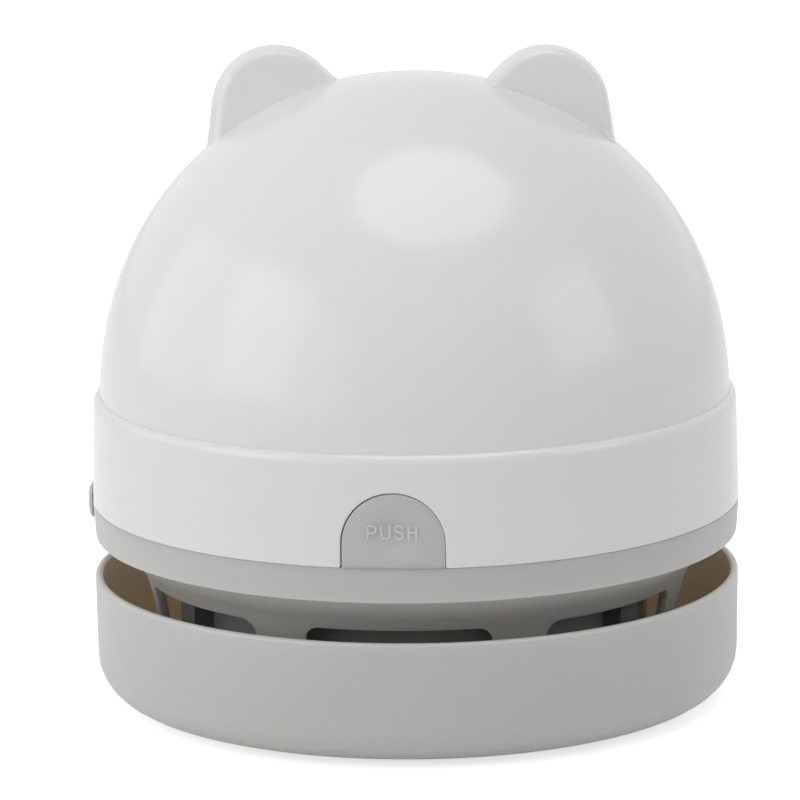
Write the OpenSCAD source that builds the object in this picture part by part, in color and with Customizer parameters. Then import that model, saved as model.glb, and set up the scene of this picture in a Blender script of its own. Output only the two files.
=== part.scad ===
// Desktop mini vacuum cleaner, in millimetres, +Z up.
// The origin is on the desk, on the axis of the round body. The push tab faces -Y.
// The white head lifts off the grey dust unit, and its fan draws air up through the
// mouth, the dust cup and the filter, and blows it down and out of the gap all round.
// Places around the axis are given as angles from the front, growing towards +X.

/* [Body] */
// Outer diameter at the seam of band and ring
body_d = 90.2; // [89:0.2:95]
// Height that the feet hold the bowl above the desk
foot_h = 0.7; // [0.5:0.1:1]
// Height of the suction bowl
bowl_h = 17.3; // [17:0.1:19]
// Open height between the bowl rim and the ring
vent_gap = 5.6; // [4.5:0.1:7]
// Height of the grey ring
ring_h = 4.85; // [4.6:0.05:5.4]
// Height of the white band
band_h = 15; // [14.6:0.2:18]
// How far the band and the ring narrow away from their seam
draft = 0.33; // [0.1:0.01:0.5]

/* [Dome] */
// Step from the band in to the dome
dome_step = 1.26; // [1:0.02:1.6]
// Straight wall of the dome under its round crown
dome_lift = 0.23; // [0.1:0.01:2]
// Wall of the dome
dome_wall = 2; // [1.6:0.1:2.4]
// Depth of the dome's spigot inside the band
spigot_h = 3.4; // [3:0.1:3.8]

/* [Ears] */
// Radius of an ear's round top
ear_r = 9.1; // [7:0.1:10]
// Distance of an ear's middle from the axis
ear_x = 18.85; // [15:0.5:20]
// Height of an ear's centre above the dome's centre
ear_rise = 38.8; // [37:0.2:40]
// Thickness of an ear
ear_t = 5; // [4.6:0.1:8]
// Front face of an ear, behind the axis
ear_y = -0.7; // [-2:0.1:1]
// How much smaller an ear's front face is than its back
ear_taper = 0.5; // [0:0.1:0.8]
// Round edge of an ear's front face
ear_edge = 1.4; // [0.8:0.1:1.8]
// Wall of an ear
ear_wall = 1.6; // [1.2:0.1:1.8]

/* [Bowl] */
// Wall of the bowl at its rim
bowl_wall = 1.1; // [1:0.1:1.6]
// Radius of the bowl's bottom edge
bowl_fillet = 6; // [4:0.1:6.5]
// Floor of the bowl
floor_t = 1.6; // [1.4:0.1:2]
// Bore of the mouth tube
mouth_d = 20; // [14:0.5:22]
// Wall of the mouth tube
tube_wall = 1.2; // [1:0.1:1.6]
// Height of the mouth tube above the bowl's underside
tube_h = 10.5; // [9:0.1:11]

/* [Neck] */
// How far the neck's waist stands in from the body's side
neck_inset = 8.1; // [7.5:0.1:9]
// Wall of the neck
neck_wall = 1.7; // [1.5:0.1:2]
// Radius of the neck's flare, seen from the side
flare_r = 27; // [24:0.5:40]
// Number of windows
window_n = 7; // [5:1:9]
// Width of the ribs between the windows, as an angle
rib_deg = 12; // [10:0.5:16]
// Height of a window
window_h = 11.9; // [9:0.1:12]
// Corner radius of a window
window_corner = 1.8; // [1:0.1:3]

/* [Dust cup] */
// Air channel between the neck and the dust cup
channel_w = 3; // [2.6:0.1:3.6]
// Wall of the dust cup
cup_wall = 1.5; // [1.2:0.1:2]
// Height that the cup's floor stands above the bowl's floor
cup_lift = 3.2; // [3:0.1:4]
// Width of the three bumpers on the cup
bumper_w = 4.5; // [3:0.1:6]
// Height of the seal on the cup's rim
seal_h = 1.4; // [1:0.1:2]

/* [Filter] */
// Radius of the spigot that the filter plugs onto
filter_r = 24; // [20:0.5:26]
// Depth of that spigot
plug_h = 3; // [2.4:0.1:3.2]
// Room between the filter's grip flange and the dust cup
grip_room = 1.45; // [1.2:0.05:3]

/* [Fan] */
// Radius of the impeller
fan_r = 26; // [22:0.5:29]
// Height of the blades
blade_h = 4.6; // [4:0.1:5]
// Number of blades
blade_n = 11; // [7:1:15]
// Radius of the inlet in the intake plate
inlet_r = 11; // [8:0.5:14]
// Thickness of the intake plate
plate_t = 1.4; // [1.2:0.1:1.8]
// Thickness of the chassis
chassis_t = 2; // [1.8:0.1:2.6]

/* [Motor and cell] */
// Diameter of the motor can
motor_d = 24.4; // [20:0.2:25]
// Length of the motor can
motor_l = 27; // [22:0.5:32]
// Diameter of the motor shaft
shaft_d = 2; // [1.5:0.1:3]
// Diameter of the cell
cell_d = 14.1; // [10:0.1:14.6]
// Length of the cell
cell_l = 50; // [46:0.5:52]

/* [Push tab] */
// Width of the tab
tab_w = 13.8; // [11:0.1:16]
// Height of the tab above the seam
tab_h = 10.3; // [9:0.1:11]
// Running gap between the tab and the band
tab_gap = 0.2; // [0.15:0.05:0.4]
// Diameter of the thumb dish
dish_d = 8; // [5:0.1:10]
// Depth of the thumb dish
dish_depth = 0.45; // [0.2:0.05:0.8]

/* [Switch] */
// Travel of the switch knob
knob_travel = 3; // [2:0.1:3.4]
// Height of the knob
knob_h = 5.2; // [4:0.1:5.6]
// How far the knob stands proud
knob_proud = 0.75; // [0.5:0.05:1.5]

/* [Fasteners] */
// Shank diameter of the screws
screw_d = 2; // [1.7:0.1:2.2]
// Head diameter of the screws
head_d = 3.6; // [3.4:0.1:3.8]

/* [Hidden] */

$fn = 96;
eps = 0.01;

// Clearances
seat_gap = 0.1;
slide_gap = 0.3;
grip_gap = 0.05;
spin_gap = 0.03;

// Walls of the outer shells
shell_wall = 1.5;
flange_t = 0.9;

// Radii, from the outside in
body_r = body_d / 2;
ring_low_r = body_r - draft;
band_top_r = body_r - draft;
shell_in_r = band_top_r - shell_wall;
dome_r = body_r - dome_step;
dome_in_r = dome_r - dome_wall;
bowl_r = body_r - 0.1;
bowl_low_r = bowl_r - 0.25;
chassis_r = shell_in_r - 1;
latch_room = 2.1;
collar_r = shell_in_r - latch_room;
collar_wall = 1.6;
collar_in_r = collar_r - collar_wall;
neck_r = body_r - neck_inset;
cup_r = neck_r - neck_wall - channel_w;
cup_in_r = cup_r - cup_wall;
plate_r = cup_r + 0.9;
tube_r = mouth_d / 2 + tube_wall;
motor_r = motor_d / 2;
shaft_r = shaft_d / 2;
cell_r = cell_d / 2;
screw_r = screw_d / 2;
head_r = head_d / 2;
head_h = 1.1;
recess_r = 0.99;
recess_w = 0.5;
recess_d = 0.5;
shank_r = screw_r - grip_gap;
pass_r = screw_r + slide_gap / 2;

// Heights, from the desk up
z_bowl = foot_h;
z_floor = z_bowl + floor_t;
z_rim = z_bowl + bowl_h;
z_ring = z_rim + vent_gap;
z_seam = z_ring + ring_h;
z_band = z_seam + band_h;
z_dome = z_band + dome_lift;
z_collar = z_ring + 3.4;
z_plate = z_ring + 1.4;
z_plate_top = z_plate + plate_t;
z_cup_floor = z_floor + cup_lift;
cup_floor_t = 1.2;
z_cup_rim = z_plate - seat_gap - seal_h;
z_tube = z_bowl + tube_h;
z_blade = z_plate_top + 0.8;
z_back = z_blade + blade_h;
back_t = 1.1;
z_chassis = z_back + back_t + 1.6;
z_top = z_chassis + chassis_t;
z_motor = z_top + motor_l;

// The neck flares from its waist up to its flange, and has a sill under its windows
z_waist = z_bowl + 8.3;
z_flange = z_ring - seat_gap - flange_t;
flange_r = ring_low_r - 1.6;
flare_top_r = neck_r + flare_r
    - sqrt(pow(flare_r + neck_wall, 2) - pow(z_flange - z_waist, 2));
sill_h = 3.2;
window_cut_in = 8;
window_cut_l = 14;

// Dome: edges and root of its ears, and bosses for the screws from the chassis
ear_back_edge = 1;
ear_root = 16;
dome_boss_h = 22;
dome_web_t = 1.4;

// Round edges of the band's top and the ring's foot
band_edge = 0.9;
ring_edge = 0.8;

// Impeller: its hub and blades
hub_r = 4.5;
hub_drop = 0.4;
blade_t = 1;
blade_in_r = 9;
blade_inset = 0.4;
z_shaft = z_blade + 0.6;

// Brush strips
brush_l = 34;
brush_w = 3.2;
brush_y = mouth_d / 2 + 6;
brush_depth = 3;
brush_back_h = 2.2;
brush_fit = 0.1;
rail_wall = 1.2;
tuft_n = 15;
tuft_r = 0.5;

// Feet
foot_r = 3.5;
foot_place_r = 31;
foot_recess = 0.4;
foot_at = [0, 90, 180, 270];

// Screw posts and their places round the axis
post_r = 2.3;
boss_r = 2.9;
neck_boss_r = 2.1;
neck_boss_h = 11;
neck_screw_r = neck_r - neck_wall / 2 - 1.3;
ring_post_r = collar_in_r - head_r - slide_gap;
plate_post_r = plate_r + head_r;
dome_boss_r = chassis_r - 5.8;
ring_post_at = [45, 165, 285];
plate_post_at = [60, 180, 300];
dome_boss_at = [0, 120, 240];
bumper_at = [60, 180, 300];
bumper_foot = 0.2;
bumper_drop = 3;
neck_screw_l = 7;
dome_screw_l = 10;
post_screw_l = 4.5;
strap_screw_l = 3.6;
board_screw_l = 3;
pilot_over = 1;
neck_screw_at = [for (i = [0:2:window_n - 3]) (i + 0.5) * 360 / window_n];

// Lugs of the ring, over the collar
lug_t = 1.15;
z_lug = z_seam - lug_t;

// Height of the dish above the middle of the tab's round end
dish_rise = 1.4;

// Latch: a leg behind the tab, with a nose under a lip of the collar
lip_r = collar_r + 0.5;
lip_t = 0.8;
lip_deg = 14;
leg_t = 0.8;
leg_w = 8;
leg_in_r = lip_r + slide_gap;
z_leg = z_ring + 1.6;
nose_t = 0.9;
web_h = 2;

// Switch, slot and knob
switch_at_y = knob_travel / 2;
stem_w = 3;
stem_h = 1.1;
z_stem = z_seam - 0.4;
z_knob = z_seam - 1.05;
slot_w = stem_w + knob_travel + 1;
slot_h = stem_h + 2 * slide_gap;
knob_l = slot_w + knob_travel;
knob_in_x = body_r + 0.05;
switch_l = 9.6;
switch_h = 4.2;
switch_d = 4;
switch_x = shell_in_r - 0.9;
z_switch = z_collar + slide_gap;
bracket_t = 1.4;
bracket_w = 12;

// Cell, its saddles and strap
cell_gap = 1.2;
cell_x = motor_r + cell_gap + cell_r;
saddle_h = 0.8;
z_cell = z_top + saddle_h + cell_r;
saddle_w = 3;
saddle_y = cell_l / 2 - saddle_w / 2 - 0.2;
strap_t = 1.2;
strap_w = 8;
strap_y = -saddle_y + saddle_w / 2 + slide_gap + strap_w / 2;
strap_foot = 4.4;
strap_post_h = 1.5;
strap_foot_t = 1.4;
strap_screw_x = cell_r + strap_foot / 2 + 0.6;
nub_r = 2.6;
nub_h = 1;
cell_tab_t = 0.3;

// Charge board and socket
board_w = 22;
board_t = 1.2;
board_lift = 0.7;
board_room = 7;
board_y0 = motor_r + board_room;
board_y1 = shell_in_r - 3;
z_board = z_top + board_lift;
z_board_top = z_board + board_t;
board_screw_x = 8.6;
chip = [4.5, 4.5, 1.6];
chip_at = [2, 7];
coil = [4, 4, 2.4];
coil_at = [-8, 9.5];
board_screw_y = board_y0 + 3.4;
usb_w = 8.94;
usb_h = 3.16;
usb_l = 7.4;
usb_wall = 0.35;
usb_y1 = shell_in_r - 0.25;
z_usb = z_board_top + usb_h / 2;
port_gap = 0.35;

// Motor inside
can_wall = 0.8;
can_boss_r = 3.4;
bush_r = 2.4;
bush_h = 3;
motor_pcd = 16;
cap_h = 2;
cap_boss_h = 1.6;
magnet_t = 1.9;
pole_r = motor_r - can_wall - magnet_t - 0.5;
core_l = motor_l * 0.5;
z_core = z_top + (motor_l - core_l) / 2;

// Filter
frame_t = 1.2;
frame_wall = 1.3;
grip_t = 1;
mesh_t = 0.3;
z_plug = z_plate - plug_h;
z_frame = z_plug - 0.3 - mesh_t - frame_t;
z_frame_top = z_plate - seat_gap;
frame_r = filter_r + grip_gap + frame_wall;
spoke_w = 1.4;
spoke_n = 3;

// Leads, with their points chosen by hand, from the middle of the chassis top.
// Each starts and ends square to what it is soldered to.
lead_r = 0.55;
lead_sides = 8;
lead_steps = 2;
board_h = board_lift + board_t;
solder_y = board_y0 + 2.2;
cell_solder_z = saddle_h + cell_r + 3;
switch_lead_y = 3;
switch_lead_x = -switch_x + switch_d / 2;
motor_route = [[5, 5, motor_l], [5, 5, motor_l + 2], [4, 10, motor_l + 4], [3, 15, motor_l - 3],
               [2, 17, 12], [1, solder_y, board_h + 3], [1, solder_y, board_h]];
cell_rear_y = cell_l / 2 + cell_tab_t;
cell_front_y = -cell_l / 2 - nub_h - cell_tab_t;
cell_route_rear = [[cell_x, cell_rear_y, cell_solder_z], [cell_x, cell_rear_y + 2, cell_solder_z],
                   [15, 29, 11], [9, 27, 8], [5, solder_y, board_h + 3], [5, solder_y, board_h]];
cell_route_front = [[cell_x, cell_front_y, cell_solder_z], [cell_x, cell_front_y - 2, cell_solder_z],
                    [17, -28, 16], [15, -21, 19], [14.5, 0, 19], [13, 15, 16], [8, 20, 10],
                    [3, solder_y, board_h + 3], [3, solder_y, board_h]];
switch_top = z_switch + switch_h - z_top;
switch_route_a = [[switch_lead_x, switch_lead_y, switch_top], [switch_lead_x, switch_lead_y, 0],
                  [-38, 5, 3], [-30, 10, 3.5], [-18, 20, 4], [-8, 24, 6],
                  [-5, solder_y, board_h + 3], [-5, solder_y, board_h]];
switch_route_b = [[switch_lead_x, -switch_lead_y, switch_top], [switch_lead_x, -switch_lead_y, 0],
                  [-38, 0, 3], [-30, 6, 3.5], [-18, 16, 4], [-8, 19, 6],
                  [-3, solder_y, board_h + 3], [-3, solder_y, board_h]];

// ---------- helpers ----------

// Puts its children at an angle from the front and a distance from the axis
module at(deg, r = 0) rotate(deg) translate([0, -r, 0]) children();

module ring(r_out, r_in, z0, z1) translate([0, 0, z0]) difference() {
    cylinder(r = r_out, h = z1 - z0);
    translate([0, 0, -1]) cylinder(r = r_in, h = z1 - z0 + 2);
}

// A box from its low corner to its high corner
module span(a, b) translate(a) cube(b - a);

// A pan-head screw whose head's seat is at the origin, and whose shank points up
module screw_up(l) {
    cylinder(r = shank_r, h = l, $fn = 24);
    difference() {
        translate([0, 0, -head_h]) cylinder(r = head_r, h = head_h, $fn = 32);
        for (a = [0, 90]) rotate(a)
            span([-recess_r, -recess_w / 2, -head_h - 1], [recess_r, recess_w / 2, -head_h + recess_d]);
    }
}

module screw_down(l) mirror([0, 0, 1]) screw_up(l);

// A half outline of straight wall with a rounded lower outside corner
module round_base(r_low, r_top, f, h) {
    polygon([[0, f], [r_low, f], [r_top, h], [0, h]]);
    square([r_low - f, f + eps]);
    translate([r_low - f, f]) intersection() {
        circle(f);
        translate([0, -f]) square([f, f + eps]);
    }
}

// Smooth curve through points, as a list of finer points. Its end spans stay straight.
function spline_at(a, b, c, d, t) =
    0.5 * (2 * b + (c - a) * t + (2 * a - 5 * b + 4 * c - d) * t * t
           + (3 * b - 3 * c + d - a) * t * t * t);
function smooth(p) = [
    p[0],
    for (i = [1:len(p) - 3], k = [0:lead_steps - 1])
        spline_at(p[i - 1], p[i], p[i + 1], p[i + 2], k / lead_steps),
    p[len(p) - 2],
    p[len(p) - 1]
];
function unit(v) = v / norm(v);
function along(p, i) = unit(p[min(i + 1, len(p) - 1)] - p[max(i - 1, 0)]);
function side_of(t) = unit(cross(t, abs(t[0]) < 0.8 ? [1, 0, 0] : [0, 1, 0]));
// Carries a ring's side direction along the curve without twist
function sides(p, i = 0, prev = undef) =
    i >= len(p) ? [] :
    let (t = along(p, i), s = prev == undef ? side_of(t) : unit(prev - (prev * t) * t))
    concat([s], sides(p, i + 1, s));

module lead(route) {
    p = smooth(route);
    s = sides(p);
    n = lead_sides;
    pts = [for (i = [0:len(p) - 1], k = [0:n - 1])
        p[i] + lead_r * (cos(360 * k / n) * s[i] + sin(360 * k / n) * cross(along(p, i), s[i]))];
    walls = [for (i = [0:len(p) - 2], k = [0:n - 1])
        let (a = i * n + k, b = i * n + (k + 1) % n) each [[a, b, a + n], [b, b + n, a + n]]];
    last = (len(p) - 1) * n;
    ends = [for (k = [1:n - 2]) each [[0, k + 1, k], [last, last + k, last + k + 1]]];
    polyhedron([for (q = pts) q], [for (f = concat(walls, ends)) [f[0], f[2], f[1]]]);
}

// ---------- dust unit ----------

module brush_channel(grow, z0, z1)
    span([-brush_l / 2 - grow, -brush_w / 2 - grow, z0], [brush_l / 2 + grow, brush_w / 2 + grow, z1]);

module suction_bowl() color([0.72, 0.72, 0.70]) difference() {
    union() {
        rotate_extrude() translate([0, z_bowl]) {
            h = bowl_h - bowl_wall / 2;
            difference() {
                round_base(bowl_low_r, bowl_r, bowl_fillet, h);
                translate([0, floor_t]) round_base(bowl_low_r - bowl_wall, bowl_r - bowl_wall,
                                                   bowl_fillet - bowl_wall, h - floor_t);
            }
            translate([bowl_r - bowl_wall / 2, h]) circle(bowl_wall / 2);
        }
        translate([0, 0, z_bowl]) cylinder(r = tube_r, h = tube_h);
        for (s = [-1, 1]) translate([0, s * brush_y, 0])
            brush_channel(brush_fit + rail_wall, z_bowl, z_bowl + brush_depth + 1);
    }
    translate([0, 0, -1]) cylinder(r = mouth_d / 2, h = z_tube + 2);
    for (s = [-1, 1]) translate([0, s * brush_y, 0])
        brush_channel(brush_fit, -1, z_bowl + brush_depth);
    for (a = foot_at) at(a, foot_place_r) translate([0, 0, -1])
        cylinder(r = foot_r + grip_gap, h = 1 + z_bowl + foot_recess);
    for (a = neck_screw_at) at(a, neck_screw_r) {
        translate([0, 0, -1]) cylinder(r = pass_r, h = z_floor + 2, $fn = 24);
        translate([0, 0, -1]) cylinder(r = head_r + slide_gap / 2, h = z_bowl + head_h + 1, $fn = 32);
    }
}

// Half outline of the flare's wall: two arcs about one centre outside the neck
module flare_wall() intersection() {
    translate([neck_r + flare_r, z_waist]) difference() {
        circle(flare_r + neck_wall, $fn = 180);
        circle(flare_r, $fn = 180);
    }
    translate([neck_r - neck_wall - 1, z_waist]) square([body_r, z_flange - z_waist]);
}

module window_cut() {
    deg = 360 / window_n - rib_deg;
    w = 2 * neck_r * sin(deg / 2) - 2 * window_corner;
    h = window_h - 2 * window_corner;
    translate([0, -neck_r + window_cut_in, z_floor + sill_h + window_corner])
    rotate([90, 0, 0]) linear_extrude(window_cut_l) {
        for (x = [-w / 2, w / 2], z = [0, h]) translate([x, z]) circle(window_corner, $fn = 32);
        translate([-w / 2, -window_corner]) square([w, window_h]);
        translate([-w / 2 - window_corner, 0]) square([w + 2 * window_corner, h]);
    }
}

module vent_neck() color([0.70, 0.69, 0.67]) difference() {
    union() {
        difference() {
            rotate_extrude() {
                translate([neck_r - neck_wall, z_floor]) square([neck_wall, z_waist - z_floor]);
                flare_wall();
                translate([flare_top_r, z_flange]) square([flange_r - flare_top_r, flange_t]);
                translate([collar_in_r, z_flange]) square([collar_wall, z_collar - z_flange]);
            }
            for (i = [0:window_n - 1]) at(i * 360 / window_n) window_cut();
        }
        // Bosses for the screws from below, at the ribs
        for (a = neck_screw_at) at(a, neck_screw_r) translate([0, 0, z_floor])
            cylinder(r = neck_boss_r, h = neck_boss_h, $fn = 32);
        // Lip that the latch's nose catches
        intersection() {
            ring(lip_r, collar_r - 0.5, z_collar - lip_t, z_collar);
            for (a = [-lip_deg / 2, lip_deg / 2]) rotate(a) span([-4, -body_r, z_ring], [4, 0, z_seam]);
        }
    }
    for (a = neck_screw_at) at(a, neck_screw_r) translate([0, 0, z_floor - 1])
        cylinder(r = screw_r, h = neck_screw_l + 1 + pilot_over, $fn = 24);
}

module dust_cup() color([0.20, 0.20, 0.21, 0.6]) difference() {
    union() {
        ring(cup_r, cup_in_r, z_floor, z_cup_rim);
        translate([0, 0, z_cup_floor]) cylinder(r = cup_r - 0.5, h = cup_floor_t);
    }
    translate([0, 0, z_cup_floor - 1]) cylinder(r = tube_r + seat_gap, h = cup_floor_t + 2);
}

module cup_bumpers() color([0.05, 0.05, 0.05]) difference() {
    intersection() {
        ring(neck_r - neck_wall - seat_gap, cup_r, z_floor + bumper_foot, z_cup_rim - bumper_drop);
        for (a = bumper_at) at(a) span([-bumper_w / 2, -neck_r, z_floor], [bumper_w / 2, 0, z_ring]);
    }
    for (a = neck_screw_at) at(a, neck_screw_r) translate([0, 0, z_floor])
        cylinder(r = neck_boss_r + 0.4, h = neck_boss_h + 0.4, $fn = 32);
}

module cup_seal() color([0.15, 0.15, 0.15]) difference() {
    ring(cup_r, cup_in_r, z_cup_rim, z_cup_rim + seal_h);
    translate([0, 0, z_cup_rim + seal_h]) rotate_extrude()
        translate([(cup_r + cup_in_r) / 2, 0]) circle(cup_wall * 0.2, $fn = 24);
}

module brush_strips() color([0.08, 0.08, 0.09]) for (s = [-1, 1]) translate([0, s * brush_y, 0]) {
    z0 = z_bowl + brush_depth - brush_back_h;
    brush_channel(0, z0, z0 + brush_back_h);
    pitch = (brush_l - 2) / (tuft_n - 1);
    for (i = [0:tuft_n - 1], k = [-1, 1])
        translate([-brush_l / 2 + 1 + i * pitch, k * 0.7, 0.08])
            cylinder(r = tuft_r, h = z0, $fn = 6);
}

module glide_feet() color([0.16, 0.16, 0.16]) for (a = foot_at) at(a, foot_place_r)
    cylinder(r = foot_r, h = z_bowl + foot_recess);

module neck_screws() color([0.6, 0.6, 0.62]) for (a = neck_screw_at) at(a, neck_screw_r)
    translate([0, 0, z_bowl + head_h]) screw_up(neck_screw_l);

// ---------- filter ----------

module filter_frame() color([0.13, 0.13, 0.14]) {
    ring(frame_r, filter_r + grip_gap, z_frame, z_frame_top);
    ring(cup_in_r - grip_room, filter_r + grip_gap, z_frame, z_frame + grip_t);
    ring(filter_r + 0.5, filter_r - 1.2, z_frame, z_frame + frame_t);
    translate([0, 0, z_frame]) cylinder(r = 3, h = frame_t);
    for (i = [0:spoke_n - 1]) rotate(180 * i / spoke_n)
        span([-filter_r, -spoke_w / 2, z_frame], [filter_r, spoke_w / 2, z_frame + frame_t]);
}

module filter_mesh() color([0.85, 0.85, 0.83])
    translate([0, 0, z_frame + frame_t]) cylinder(r = filter_r, h = mesh_t);

// ---------- shells of the head ----------

// Half outline of an ear from above: its front is at 0, its back at t
module ear_side(r, t) {
    front_r = r - ear_taper;
    polygon([[0, 0], [front_r - ear_edge, 0], [front_r, ear_edge], [r, t - ear_back_edge],
             [r - ear_back_edge, t], [0, t]]);
    translate([front_r - ear_edge, ear_edge]) circle(ear_edge, $fn = 48);
    translate([r - ear_back_edge, t - ear_back_edge]) circle(ear_back_edge, $fn = 48);
}

module ear_body() {
    rotate([90, 0, 180]) rotate_extrude(angle = 180) ear_side(ear_r, ear_t);
    translate([0, 0, -ear_root]) linear_extrude(ear_root) for (s = [0, 1]) mirror([s, 0])
        ear_side(ear_r, ear_t);
}

module ear_hollow() {
    r = ear_r - ear_taper - ear_wall;
    t = ear_t - 2 * ear_wall;
    translate([0, ear_wall, 0]) {
        rotate([90, 0, 180]) rotate_extrude(angle = 180) square([r, t]);
        span([-r, 0, -ear_root - 1], [r, t, 0]);
    }
}

module at_ears() for (s = [-1, 1]) translate([s * ear_x, ear_y, z_dome + ear_rise]) children();

// Solid under a dome of radius r, from height z0
module dome_solid(r, z0) {
    translate([0, 0, z0]) cylinder(r = r, h = z_dome - z0, $fn = 180);
    intersection() {
        translate([0, 0, z_dome]) sphere(r = r, $fn = 180);
        translate([0, 0, z_dome]) cylinder(r = r + 1, h = r + 1);
    }
}

module dome_shell() color([0.95, 0.95, 0.96]) difference() {
    union() {
        difference() {
            union() {
                dome_solid(dome_r, z_band);
                translate([0, 0, z_band - spigot_h]) cylinder(r = shell_in_r - seat_gap, h = spigot_h + 1);
                at_ears() ear_body();
            }
            dome_solid(dome_in_r, z_band - spigot_h - 1);
            at_ears() ear_hollow();
        }
        // Bosses that the chassis is screwed to, each with a web to the wall
        intersection() {
            for (a = dome_boss_at) at(a, dome_boss_r) {
                translate([0, 0, z_top]) cylinder(r = boss_r, h = dome_boss_h, $fn = 32);
                span([-dome_web_t / 2, -dome_r, z_band - spigot_h], [dome_web_t / 2, 0, z_top + dome_boss_h]);
            }
            dome_solid(dome_r - dome_wall / 2, z_top);
        }
    }
    for (a = dome_boss_at) at(a, dome_boss_r) translate([0, 0, z_top - 1])
        cylinder(r = screw_r, h = dome_screw_l + 1 + pilot_over, $fn = 24);
    // Room for the charging socket
    span([-usb_w / 2 - 1, dome_in_r - 4, z_band - spigot_h - 1],
         [usb_w / 2 + 1, body_r, z_usb + usb_h / 2 + 0.5]);
}

// Outline of the charging socket seen from behind, grown by g
module socket_outline(g) {
    w = usb_w + 2 * g;
    h = usb_h + 2 * g;
    for (s = [-1, 1]) translate([s * (w - h) / 2, 0]) circle(h / 2, $fn = 48);
    square([w - h, h], center = true);
}

// Outline of the tab seen from the front, grown by g
module tab_outline(g) {
    r = tab_w / 2 + g;
    translate([0, tab_h - tab_w / 2]) circle(r);
    translate([-r, 0]) square([2 * r, tab_h - tab_w / 2]);
}

module tab_prism(g, deep) translate([0, -body_r + deep, z_seam]) rotate([90, 0, 0])
    linear_extrude(deep + 3) tab_outline(g);

// Solid of the band between its seam and its top edge
module band_solid() rotate_extrude($fn = 180) {
    z_edge = z_band - band_edge;
    polygon([[0, z_seam], [body_r, z_seam], [band_top_r, z_edge], [0, z_edge]]);
    translate([0, z_edge - eps]) square([band_top_r - band_edge, band_edge + eps]);
    translate([band_top_r - band_edge, z_edge]) intersection() {
        circle(band_edge);
        translate([0, -eps]) square([band_edge, band_edge + eps]);
    }
}

module knob_slot() span([-body_r - 1, -slot_w / 2, z_stem - slot_h / 2],
                        [-shell_in_r + 2, slot_w / 2, z_stem + slot_h / 2]);

module mid_band() color([0.95, 0.95, 0.95]) difference() {
    band_solid();
    translate([0, 0, z_seam - 1]) cylinder(r = shell_in_r, h = band_h + 2, $fn = 180);
    tab_prism(tab_gap, 6);
    translate([0, 0, -eps]) tab_prism(tab_gap, 6);
    knob_slot();
    // Port for the charging plug
    translate([0, body_r + 1, z_usb]) rotate([90, 0, 0]) linear_extrude(6) socket_outline(port_gap);
}

module lower_ring() color([0.72, 0.72, 0.70]) difference() {
    union() {
        rotate_extrude($fn = 180) difference() {
            translate([0, z_ring]) round_base(ring_low_r, body_r, ring_edge, ring_h);
            translate([0, z_ring + 1]) square([shell_in_r, ring_h]);
            translate([0, z_ring - 1]) square([leg_in_r, 3]);
        }
        // Lugs that the ring is screwed up by
        for (a = ring_post_at) at(a, ring_post_r) {
            translate([0, 0, z_lug]) cylinder(r = post_r, h = lug_t, $fn = 32);
            span([-post_r, ring_post_r - shell_in_r - 0.5, z_lug], [post_r, 0, z_seam]);
        }
    }
    for (a = ring_post_at) at(a, ring_post_r) translate([0, 0, z_lug - 1])
        cylinder(r = pass_r, h = lug_t + 2, $fn = 24);
    knob_slot();
}

module push_tab() color([0.71, 0.71, 0.69]) {
    dish_r = (dish_d * dish_d / 4 + dish_depth * dish_depth) / (2 * dish_depth);
    difference() {
        intersection() {
            difference() {
                band_solid();
                translate([0, 0, z_seam - 1]) cylinder(r = shell_in_r, h = band_h, $fn = 180);
            }
            tab_prism(0, 6);
        }
        translate([0, -body_r + dish_depth + draft / 3, z_seam + tab_h - tab_w / 2 + dish_rise])
            rotate([90, 0, 0]) rotate_extrude() intersection() {
                translate([0, dish_r]) circle(dish_r, $fn = 360);
                square([dish_d, 2]);
            }
    }
    // Leg and nose behind the tab
    intersection() {
        union() {
            ring(shell_in_r + 0.3, leg_in_r, z_seam, z_seam + web_h);
            ring(leg_in_r + leg_t, leg_in_r, z_leg, z_seam + web_h);
            ring(leg_in_r + leg_t, lip_r + 0.1, z_leg, z_leg + nose_t - 0.2);
        }
        span([-leg_w / 2, -body_r, z_ring], [leg_w / 2, 0, z_band]);
    }
}

module switch_knob() color([0.70, 0.70, 0.68]) translate([0, switch_at_y, 0]) {
    // Cap: a wide cylinder along Y gives its crown, and an outline from above its sloped ends
    outer_x = body_r + knob_proud;
    sag = outer_x - knob_in_x + 0.2;
    crown_r = (knob_h * knob_h / 4 + sag * sag) / (2 * sag);
    intersection() {
        translate([-outer_x + crown_r, 0, z_knob]) rotate([90, 0, 0])
            cylinder(r = crown_r, h = knob_l + 1, center = true, $fn = 360);
        translate([0, 0, z_knob - knob_h]) linear_extrude(2 * knob_h)
            polygon([[-knob_in_x, -knob_l / 2], [-knob_in_x, knob_l / 2],
                     [-outer_x - 0.1, knob_l / 2 - sag], [-outer_x - 0.1, -knob_l / 2 + sag]]);
    }
    span([-knob_in_x - eps, -stem_w / 2, z_stem - stem_h / 2],
         [-switch_x + 1, stem_w / 2, z_stem + stem_h / 2]);
}

// ---------- chassis and fan ----------

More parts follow.
